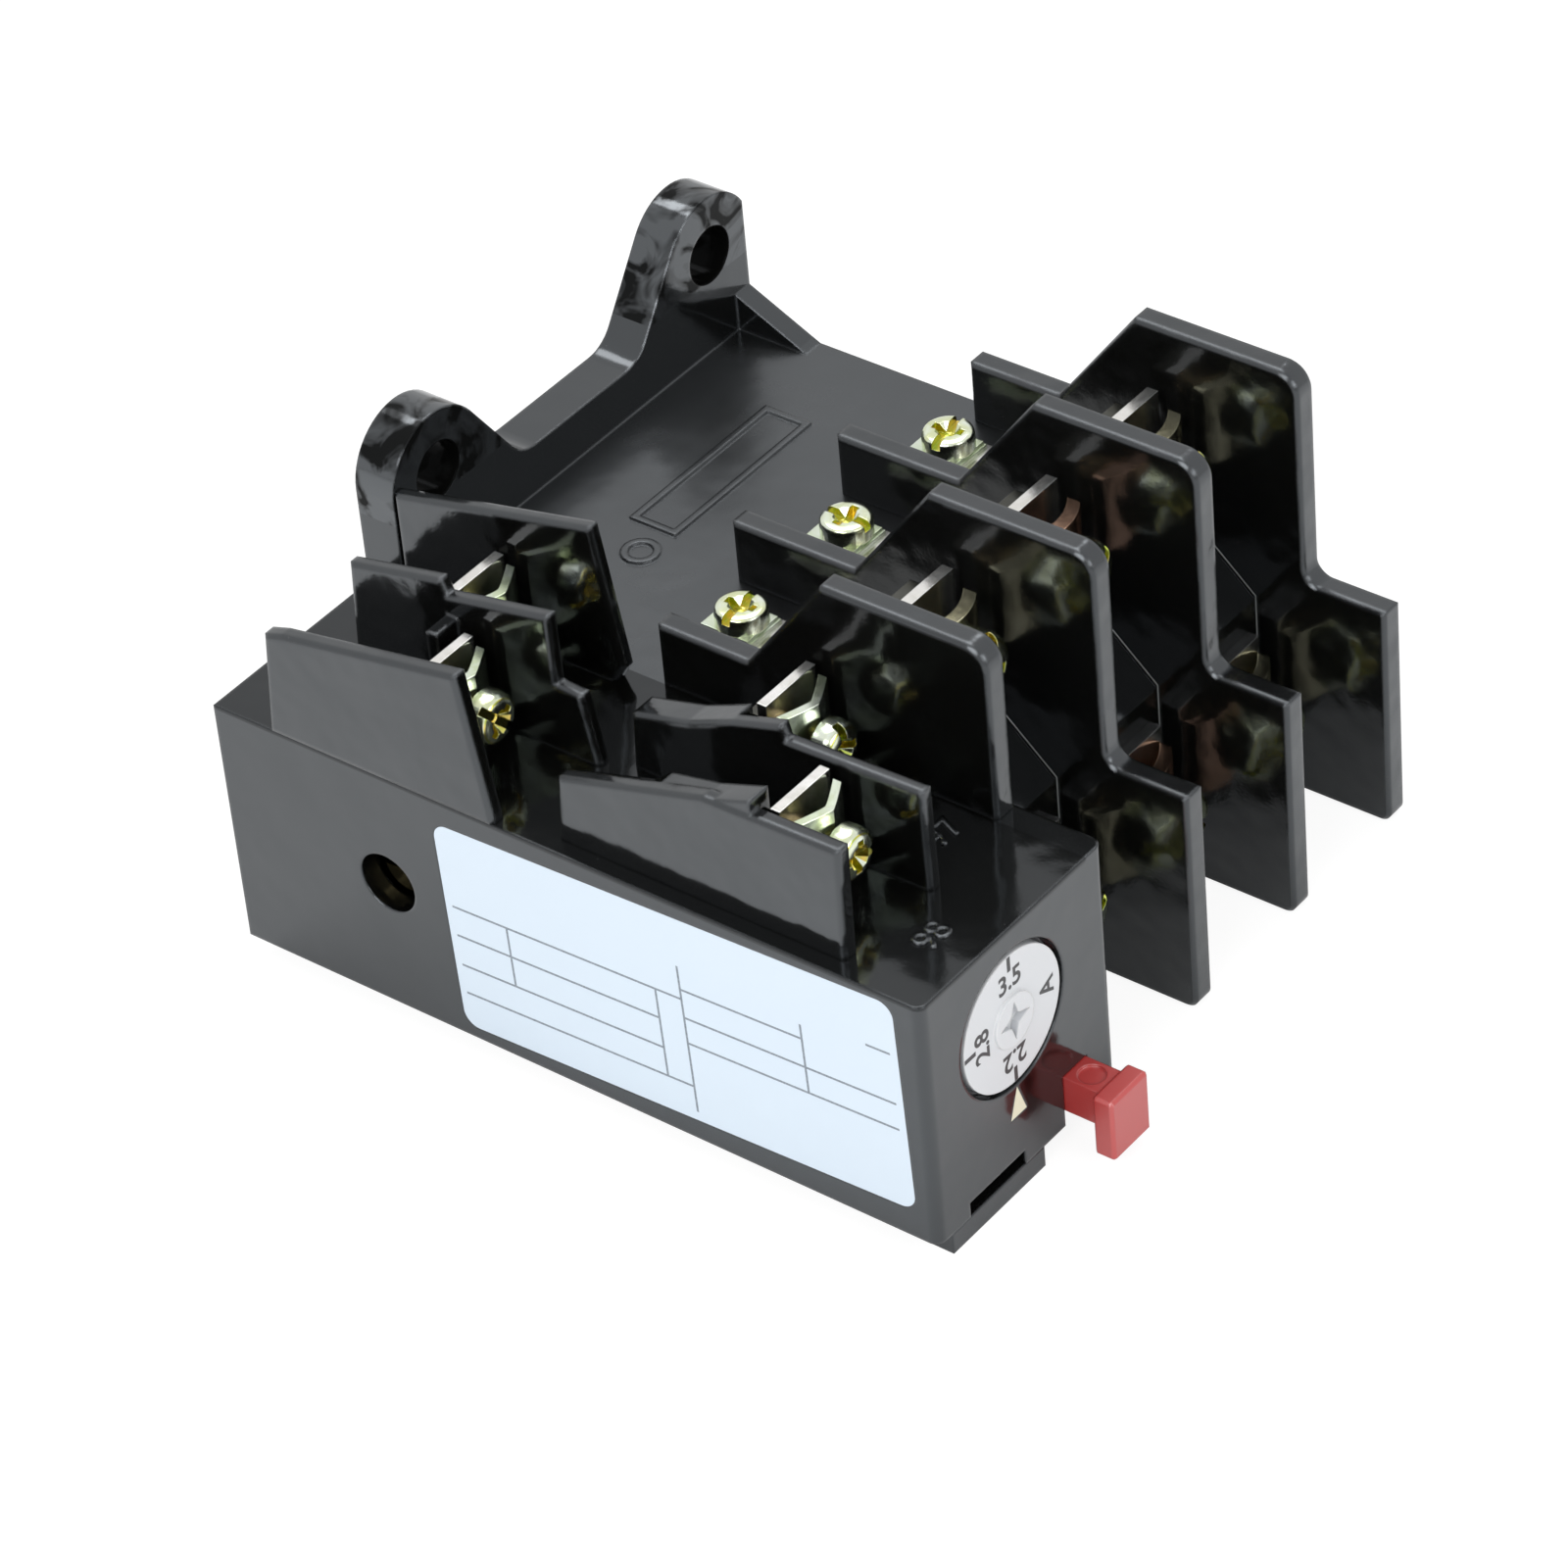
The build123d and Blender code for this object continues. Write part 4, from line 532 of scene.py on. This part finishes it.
def buildScrewTree(headMetal, recessMetal, threadMetal, form):
    tree, groupIn, groupOut = newGroup(
        "screwSet", "GeometryNodeTree",
        [("Geometry", "NodeSocketGeometry", None), ("Head Radius", "NodeSocketFloat", 0.0034),
         ("Head Height", "NodeSocketFloat", 0.0026), ("Crown", "NodeSocketFloat", 0.45),
         ("Shank Radius", "NodeSocketFloat", 0.002), ("Shank Length", "NodeSocketFloat", 0.008),
         ("Pitch", "NodeSocketFloat", 0.0007), ("Slot Width", "NodeSocketFloat", 0.001),
         ("Slot Depth", "NodeSocketFloat", 0.0013), ("Axis", "NodeSocketVector", (1, 0, 0)),
         ("Seed", "NodeSocketInt", 4)],
        [("Geometry", "NodeSocketGeometry")])
    value = groupIn.outputs
    mesh, u, v = unitGrid(tree, *form["headMesh"])
    around = times(tree, u, 2 * math.pi)
    climb = times(tree, v, math.pi / 2)
    inward, upward = (math2(tree, "MAXIMUM", math2(tree, wave, climb), 0.0) for wave in ("COSINE", "SINE"))
    radius = times(tree, math2(tree, "POWER", inward, value["Crown"]), value["Head Radius"])
    height = times(tree, math2(tree, "POWER", upward, value["Crown"]), value["Head Height"])
    dome = roundForm(tree, mesh, around, radius, height)
    under = addNode(tree, "GeometryNodeMeshCircle", {
        "Vertices": form["headMesh"][0] - 1, "Radius": value["Head Radius"]}, fill_type="NGON")
    underDown = addNode(tree, "GeometryNodeFlipFaces", {0: under.outputs[0]})
    both = addNode(tree, "GeometryNodeJoinGeometry", {0: dome})
    tree.links.new(underDown.outputs[0], both.inputs[0])
    head = closeSeam(tree, both.outputs[0], rimGap)
    deep = minus(tree, value["Head Height"], times(tree, value["Slot Depth"], 0.5))
    lift = joined(tree, z=deep)
    slotLength = times(tree, value["Head Radius"], form["slotLength"])
    slot = boxAt(tree, (slotLength, value["Slot Width"], value["Slot Depth"]), lift)
    crossLength = times(tree, value["Head Radius"], form["crossLength"])
    crossDepth = times(tree, value["Slot Depth"], form["crossDepth"])
    cross = boxAt(tree, (value["Slot Width"], crossLength, crossDepth), lift)
    well = addNode(tree, "GeometryNodeMeshCone", {
        "Vertices": form["wellSides"], "Radius Top": times(tree, value["Head Radius"], form["wellTop"]),
        "Radius Bottom": times(tree, value["Head Radius"], form["wellBottom"]),
        "Depth": times(tree, value["Slot Depth"], form["wellDepth"])})
    sunk = minus(tree, value["Head Height"], times(tree, value["Slot Depth"], form["wellSink"]))
    wellMoved = {"Geometry": well.outputs["Mesh"], "Translation": joined(tree, z=sunk)}
    wellPlaced = addNode(tree, "GeometryNodeTransform", wellMoved).outputs[0]
    for cutter in (slot, cross, wellPlaced):
        cut = {0: head, 1: cutter}
        head = addNode(tree, "GeometryNodeMeshBoolean", cut, operation="DIFFERENCE", solver="EXACT").outputs[0]
    mesh, u, v = unitGrid(tree, *form["shankMesh"])
    around = times(tree, u, 2 * math.pi)
    below = times(tree, v, value["Shank Length"])
    phase = plus(tree, times(tree, math2(tree, "DIVIDE", below, value["Pitch"]), 2 * math.pi), around)
    thread = plus(tree, form["threadMiddle"], times(tree, math2(tree, "COSINE", phase), form["threadSwing"]))
    beforeEnd = math2(tree, "LESS_THAN", v, form["closed"][1])
    pastTop = math2(tree, "GREATER_THAN", v, form["closed"][0])
    ended = times(tree, thread, times(tree, beforeEnd, pastTop))
    shank = roundForm(tree, mesh, around, times(tree, ended, value["Shank Radius"]), times(tree, below, -1.0))
    turnedOut = addNode(tree, "GeometryNodeFlipFaces", {0: shank}).outputs[0]
    whole = addNode(tree, "GeometryNodeJoinGeometry", {0: head})
    tree.links.new(turnedOut, whole.inputs[0])
    smooth = addNode(tree, "GeometryNodeSetShadeSmooth", {"Geometry": whole.outputs[0], "Shade Smooth": False})
    spot = split(tree, addNode(tree, "GeometryNodeInputPosition").outputs[0])
    onShank = math2(tree, "LESS_THAN", spot["Z"], form["shankTop"])
    squares = [math2(tree, "POWER", spot[axis], 2.0) for axis in ("X", "Y")]
    offAxis = math2(tree, "SQRT", plus(tree, *squares))
    inside = math2(tree, "LESS_THAN", offAxis, times(tree, value["Head Radius"], form["recessReach"]))
    bottom, top = (times(tree, value["Head Height"], share) for share in form["recessHeights"])
    lowered = math2(tree, "LESS_THAN", spot["Z"], top)
    raised = math2(tree, "GREATER_THAN", spot["Z"], bottom)
    inRecess = times(tree, inside, times(tree, lowered, raised))
    zone = plus(tree, inRecess, times(tree, onShank, 2.0))
    tagIn = {"Geometry": smooth.outputs[0], "Name": "zone"}
    tagged = addNode(tree, "GeometryNodeStoreNamedAttribute", tagIn, data_type="INT", domain="FACE")
    tree.links.new(zone, next(socket for socket in tagged.inputs if socket.enabled and socket.name == "Value"))
    aim = addNode(tree, "FunctionNodeAlignRotationToVector", {"Vector": value["Axis"]}, axis="Z")
    spin = addNode(
        tree, "FunctionNodeRandomValue", {2: 0.0, 3: form["spin"], "Seed": value["Seed"]}, data_type="FLOAT")
    twist = addNode(tree, "FunctionNodeAxisAngleToRotation", {"Axis": (0, 0, 1), "Angle": spin.outputs[1]})
    turns = {"Rotation": aim.outputs[0], "Rotate By": twist.outputs[0]}
    pose = addNode(tree, "FunctionNodeRotateRotation", turns, rotation_space="LOCAL")
    copies = addNode(tree, "GeometryNodeInstanceOnPoints", {
        "Points": value["Geometry"], "Instance": tagged.outputs[0], "Rotation": pose.outputs[0]})
    finished = addNode(tree, "GeometryNodeRealizeInstances", {0: copies.outputs[0]}).outputs[0]
    for number, metal in ((0, headMetal), (1, recessMetal), (2, threadMetal)):
        dressed = {"Geometry": finished, "Selection": markedAs(tree, number), "Material": metal}
        finished = addNode(tree, "GeometryNodeSetMaterial", dressed).outputs[0]
    tree.links.new(finished, groupOut.inputs[0])
    return tree


screwTree = buildScrewTree(yellowZinc, recessZinc, threadSteel, screwForm)
# Places in millimetres: the middle of each pole's bay, the front and middle of each auxiliary plate,
# and the heights of the three rows of screws
poleY = [-3.7, 11.9, 27.5]
auxPlaces = [(-18.95, -30.0), (-24.25, -19.3), (9.05, -17.4), (18.85, -28.3)]
upperRow, lowerRow, auxRow = 36.2, 12.2, 34.4


def perPole(x, z):
    return [(x * mm, y * mm, z * mm) for y in poleY]


def perAuxPlate(out):
    return [((x + out) * mm, y * mm, auxRow * mm) for x, y in auxPlaces]


mainScrew = {"Head Radius": 3.4 * mm, "Head Height": 2.6 * mm, "Crown": 0.42, "Shank Radius": 2.0 * mm,
             "Shank Length": 7.7 * mm, "Pitch": 0.7 * mm, "Slot Width": 1.0 * mm, "Slot Depth": 1.2 * mm,
             "Axis": (1, 0, 0), "Seed": 3}
auxScrew = {"Head Radius": 2.5 * mm, "Head Height": 2.2 * mm, "Crown": 0.46, "Shank Radius": 1.5 * mm,
            "Shank Length": 5.3 * mm, "Pitch": 0.5 * mm, "Slot Width": 0.8 * mm, "Slot Depth": 1.0 * mm,
            "Axis": (1, 0, 0), "Seed": 8}
deckScrew = {"Head Radius": 2.5 * mm, "Head Height": 1.9 * mm, "Crown": 0.26, "Shank Radius": 1.35 * mm,
             "Shank Length": 5.5 * mm, "Pitch": 0.5 * mm, "Slot Width": 0.85 * mm, "Slot Depth": 0.8 * mm,
             "Axis": (0, 0, 1), "Seed": 5}
lowerScrew = {**mainScrew, "Seed": 11}
bakeTree("upperScrews", perPole(17.65, upperRow), screwTree, mainScrew, "housing",
         ["upper_terminal_screws"])
bakeTree("lowerScrews", perPole(26.85, lowerRow), screwTree, lowerScrew, "housing",
         ["lower_terminal_screws"])
bakeTree("auxScrews", perAuxPlate(3.3), screwTree, auxScrew, "housing", ["aux_terminal_screws"])
bakeTree("deckScrews", perPole(-7.65, 30.7), screwTree, deckScrew, "housing", ["deck_screws"])


# Clamp washers: arched plates round a hole, whose two edges stand on the terminal
tileForm = {"mesh": (129, 25), "least": 0.001}


def buildTileTree(name, metal):
    tree, groupIn, groupOut = newGroup(
        name, "GeometryNodeTree",
        [("Geometry", "NodeSocketGeometry", None), ("Half Width", "NodeSocketFloat", 0.0047),
         ("Half Height", "NodeSocketFloat", 0.004), ("Hole Radius", "NodeSocketFloat", 0.0022),
         ("Rise", "NodeSocketFloat", 0.0018), ("Thickness", "NodeSocketFloat", 0.0014),
         ("Bend", "NodeSocketFloat", 2.2), ("Tilt", "NodeSocketFloat", 0.0005)],
        [("Geometry", "NodeSocketGeometry")])
    value = groupIn.outputs
    mesh, u, v = unitGrid(tree, *tileForm["mesh"])
    around = times(tree, u, 2 * math.pi)
    lap = times(tree, v, 4.0)

    def within(start):
        return minus(tree, lap, start, clamp=True)

    outward = minus(tree, within(0.0), within(2.0))
    layer = minus(tree, within(1.0), within(3.0))
    cosine, sine = math2(tree, "COSINE", around), math2(tree, "SINE", around)
    across, along = (
        math2(tree, "MAXIMUM", math2(tree, "ABSOLUTE", wave), tileForm["least"]) for wave in (cosine, sine))
    reachY = math2(tree, "DIVIDE", value["Half Width"], across)
    reachZ = math2(tree, "DIVIDE", value["Half Height"], along)
    reach = minus(tree, math2(tree, "MINIMUM", reachY, reachZ), value["Hole Radius"])
    away = plus(tree, value["Hole Radius"], times(tree, reach, outward))
    side, up = times(tree, cosine, away), times(tree, sine, away)
    share = math2(tree, "DIVIDE", side, value["Half Width"])
    drop = math2(tree, "POWER", math2(tree, "ABSOLUTE", share), value["Bend"])
    arch = times(tree, minus(tree, 1.0, drop), value["Rise"])
    front = plus(tree, arch, times(tree, layer, value["Thickness"]))
    tilted = plus(tree, front, times(tree, share, value["Tilt"]))
    moved = addNode(tree, "GeometryNodeSetPosition", {"Geometry": mesh, "Position": joined(tree, tilted, side, up)})
    finishedCopies(tree, groupIn, groupOut, closeSeam(tree, moved.outputs[0]), metal)
    return tree


mainTile = {"Half Width": 4.7 * mm, "Half Height": 4.0 * mm, "Hole Radius": 2.15 * mm, "Rise": 1.8 * mm,
            "Thickness": 1.4 * mm, "Bend": 2.2, "Tilt": 0.5 * mm}
auxTile = {"Half Width": 3.5 * mm, "Half Height": 4.1 * mm, "Hole Radius": 1.6 * mm, "Rise": 1.5 * mm,
           "Thickness": 0.9 * mm, "Bend": 1.15, "Tilt": -0.3 * mm}
lowerTile = {**mainTile, "Tilt": 0.0}
mainTileTree = buildTileTree("mainTiles", saddleMetalMix)
auxTileTree = buildTileTree("auxTiles", greenZinc)
bakeTree(
    "upperTiles", perPole(13.55, upperRow), mainTileTree, mainTile, "housing", ["upper_clamp_washers"])
bakeTree(
    "lowerTiles", perPole(22.75, lowerRow), mainTileTree, lowerTile, "housing", ["lower_clamp_washers"])
bakeTree("auxTiles", perAuxPlate(0.6), auxTileTree, auxTile, "housing", ["aux_clamp_washers"])


# Plates under the deck screws: a stack of two thin sheets, the upper one smaller
def buildStackTree(metal):
    tree, groupIn, groupOut = newGroup(
        "deckStack", "GeometryNodeTree",
        [("Geometry", "NodeSocketGeometry", None), ("Length", "NodeSocketFloat", 0.0057),
         ("Width", "NodeSocketFloat", 0.0049), ("Sheet", "NodeSocketFloat", 0.00035),
         ("Step", "NodeSocketFloat", 0.0004)],
        [("Geometry", "NodeSocketGeometry")])
    value = groupIn.outputs
    size = (value["Length"], value["Width"], value["Sheet"])
    lower = boxAt(tree, size, joined(tree, z=times(tree, value["Sheet"], 0.5)))
    shorter, narrower = (minus(tree, value[key], value["Step"]) for key in ("Length", "Width"))
    smaller = (shorter, narrower, value["Sheet"])
    upper = boxAt(tree, smaller, joined(tree, z=times(tree, value["Sheet"], 1.5)))
    both = addNode(tree, "GeometryNodeJoinGeometry", {0: lower})
    tree.links.new(upper, both.inputs[0])
    finishedCopies(tree, groupIn, groupOut, both.outputs[0], metal)
    return tree


stackSize = {"Length": 5.7 * mm, "Width": 4.9 * mm, "Sheet": 0.35 * mm, "Step": 0.4 * mm}
bakeTree("deckStacks", perPole(-8.0, 30.0), buildStackTree(greenZinc), stackSize, "housing",
         ["square_washers"])

# Painted highlight: a fine pale bead where the front of each pole's block meets the next barrier, a little proud of
# both, stands in for the bright line light draws along that joint
highlightBeadForm = {"faces": [2.8, 18.4, 34.0], "run": [(12.8, 28.75), (21.5, 20.75), (21.5, 12.0)], "radius": 0.09 * mm,
            "proud": 0.05, "steps": 2}


def pieceFromCurve(name, curve, material):
    mesh = settledMesh(placed(name + "Carrier", curve))
    mesh.materials.clear()
    mesh.materials.append(material)
    return placed(name, mesh)


def buildHighlightBeads(look):
    curve = bpy.data.curves.new("highlightBead", "CURVE")
    curve.dimensions = "3D"
    curve.bevel_depth = look["radius"]
    curve.bevel_resolution = look["steps"]
    curve.use_fill_caps = True
    for y in look["faces"]:
        spline = curve.splines.new("POLY")
        spline.points.add(len(look["run"]) - 1)
        for point, (x, z) in zip(spline.points, look["run"]):
            point.co = ((x + look["proud"]) * mm, y * mm, (z + look["proud"]) * mm, 1)
    beads = pieceFromCurve("highlightBeads", curve, highlightBeadPlastic)
    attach(beads, "housing")


buildHighlightBeads(highlightBeadForm)
print("seams placed")


# Dial: numerals and ticks printed on its face, tops outwards
dialPrint = {
    "centre": (36.25 * mm, -24.4 * mm, 19.1 * mm), "height": 2.75 * mm, "place": 4.25 * mm, "depth": 0.04 * mm,
    "stroke": 0.05 * mm, "tickInner": 5.3 * mm, "tickOuter": 6.85 * mm, "tickWidth": 0.46 * mm,
    "numbers": [("3.5", 0), ("2.8", 90), ("2.2", 180)], "unitPlace": 5.1 * mm}
tickFaces = [(0, 1, 3, 2), (4, 6, 7, 5), (0, 4, 5, 1), (2, 3, 7, 6), (0, 2, 6, 4), (1, 5, 7, 3)]


def textMesh(name, words, size, depth, material, stroke=0.0, soften=0.0):
    curve = bpy.data.curves.new(name, "FONT")
    curve.body = words
    curve.size = size
    curve.extrude = depth / 2
    curve.offset = stroke
    curve.bevel_depth = soften
    curve.align_x = "CENTER"
    curve.align_y = "CENTER"
    return pieceFromCurve(name, curve, material)


def printDial(look):
    facing = Matrix(((0, 0, 1, 0), (1, 0, 0, 0), (0, 1, 0, 0), (0, 0, 0, 1)))  # text x to +Y, text y to +Z
    centre = Matrix.Translation(Vector(look["centre"]))
    for words, angle in look["numbers"]:
        turn = Matrix.Rotation(math.radians(angle), 4, "X")
        tag = words.replace(".", "_")
        numeral = textMesh("dialNumeral" + tag, words, look["height"], look["depth"], dialInk, look["stroke"])
        numeral.data.transform(centre @ turn @ Matrix.Translation((0, 0, look["place"])) @ facing)
        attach(numeral, "dial")
        half, inner, outer, front = look["tickWidth"] / 2, look["tickInner"], look["tickOuter"], look["depth"] / 2
        corners = [(x, y, z) for x in (-front, front) for y in (-half, half) for z in (inner, outer)]
        tick = meshObject("dialTick" + tag, corners, tickFaces, dialInk)
        tick.data.transform(centre @ turn)
        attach(tick, "dial")
    unit = textMesh("dialUnit", "A", look["height"], look["depth"], dialInk, look["stroke"])
    quarterTurn = Matrix.Rotation(math.radians(90), 4, "X")
    unit.data.transform(centre @ Matrix.Translation((0, look["unitPlace"], 0)) @ quarterTurn @ facing)
    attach(unit, "dial")


printDial(dialPrint)

# Raised terminal numbers on the deck, read from the front
deckNumbers = {"words": [("98", 31.4, -28.2), ("97", 24.0, -16.6)], "size": 3.5 * mm, "rise": 0.3 * mm,
               "soften": 0.09 * mm, "deck": 28.8 * mm}
for words, x, y in deckNumbers["words"]:
    number = textMesh("deckNumber" + words, words, deckNumbers["size"], deckNumbers["rise"], blackMoulding,
                      soften=deckNumbers["soften"])
    onDeck = Matrix.Translation((x * mm, y * mm, deckNumbers["deck"]))
    number.data.transform(onDeck @ Matrix.Rotation(math.radians(90), 4, "Z"))
    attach(number, "housing")
print("numbers placed")


# Floor, light and camera
studio = {"floorSize": 3.0, "floorGlow": 1.12, "floorShare": 0.8, "mirrorShare": 0.15, "world": 0.5, "glow": 1.0,
          "mirrorGlow": 0.7, "floorColour": (0.9, 0.9, 0.9, 1), "floorRough": 0.9, "floorShine": 0.1}


def whiteRays(tree, direct, mirrored):
    path = addNode(tree, "ShaderNodeLightPath")
    bounced = math2(tree, "MAXIMUM", path.outputs["Is Glossy Ray"], path.outputs["Is Transmission Ray"])
    return math2(
        tree, "MAXIMUM", times(tree, path.outputs["Is Camera Ray"], direct), times(tree, bounced, mirrored))


def buildStudio(look):
    half = look["floorSize"] / 2
    corners = [(-half, -half, 0), (half, -half, 0), (half, half, 0), (-half, half, 0)]
    floor = meshObject("floor", corners, [(0, 1, 2, 3)])
    material, tree, shader = startMaterial("floorWhite")
    shader.inputs["Base Color"].default_value = look["floorColour"]
    shader.inputs["Roughness"].default_value = look["floorRough"]
    shader.inputs["Specular IOR Level"].default_value = look["floorShine"]
    glow = addNode(tree, "ShaderNodeEmission", {"Color": (1, 1, 1, 1), "Strength": look["floorGlow"]})
    share = whiteRays(tree, look["floorShare"], look["mirrorShare"])
    mixed = addNode(tree, "ShaderNodeMixShader", {0: share, 1: shader.outputs[0], 2: glow.outputs[0]})
    tree.links.new(mixed.outputs[0], tree.nodes["Material Output"].inputs["Surface"])
    floor.data.materials.append(material)
    world = bpy.data.worlds.new("studioWorld")
    bpy.context.scene.world = world
    world.use_nodes = True
    sky = world.node_tree
    back = sky.nodes["Background"]
    level = ranged(sky, whiteRays(sky, 1.0, look["mirrorGlow"]), (look["world"], look["glow"]))
    back.inputs["Color"].default_value = (1, 1, 1, 1)
    sky.links.new(level, back.inputs["Strength"])


def softBox(name, place, target, size, power):
    lamp = bpy.data.lights.new(name, "AREA")
    lamp.shape = "RECTANGLE"
    lamp.size, lamp.size_y = size
    lamp.energy = power
    box = placed(name, lamp)
    box.location = place
    box.rotation_euler = (Vector(target) - Vector(place)).to_track_quat("-Z", "Y").to_euler()


buildStudio(studio)
lampTarget = (0, 0, 0.02)
softBoxes = {  # place, size and power
    "keyBox": ((0.10, -0.75, 0.62), (0.55, 0.4), 4.1),
    "frontBox": ((0.80, -0.10, 0.45), (0.45, 0.35), 2.5),
    "topBox": ((-0.25, 0.25, 0.8), (0.6, 0.5), 3.2)}
for name, (place, size, power) in softBoxes.items():
    softBox(name, place, lampTarget, size, power)

cameraLook = {"place": (0.30861, -0.36657, 0.39275), "aim": (-0.51235, 0.59357, -0.62062), "roll": -5.517,
              "lens": 155.04, "sensor": 36.0}


def placeCamera(look):
    data = bpy.data.cameras.new("camera")
    data.lens = look["lens"]
    data.sensor_width = look["sensor"]
    data.sensor_fit = "HORIZONTAL"
    camera = placed("camera", data)
    ahead = Vector(look["aim"]).normalized()
    right = ahead.cross(Vector((0, 0, 1))).normalized()
    up = right.cross(ahead)
    roll = math.radians(look["roll"])
    rightTurned = right * math.cos(roll) + up * math.sin(roll)
    upTurned = -right * math.sin(roll) + up * math.cos(roll)
    turn = Matrix((rightTurned, upTurned, -ahead)).transposed().to_4x4()
    camera.matrix_world = Matrix.Translation(Vector(look["place"])) @ turn
    bpy.context.scene.camera = camera


placeCamera(cameraLook)
bpy.context.scene.view_settings.view_transform = "Standard"
print("studio ready")
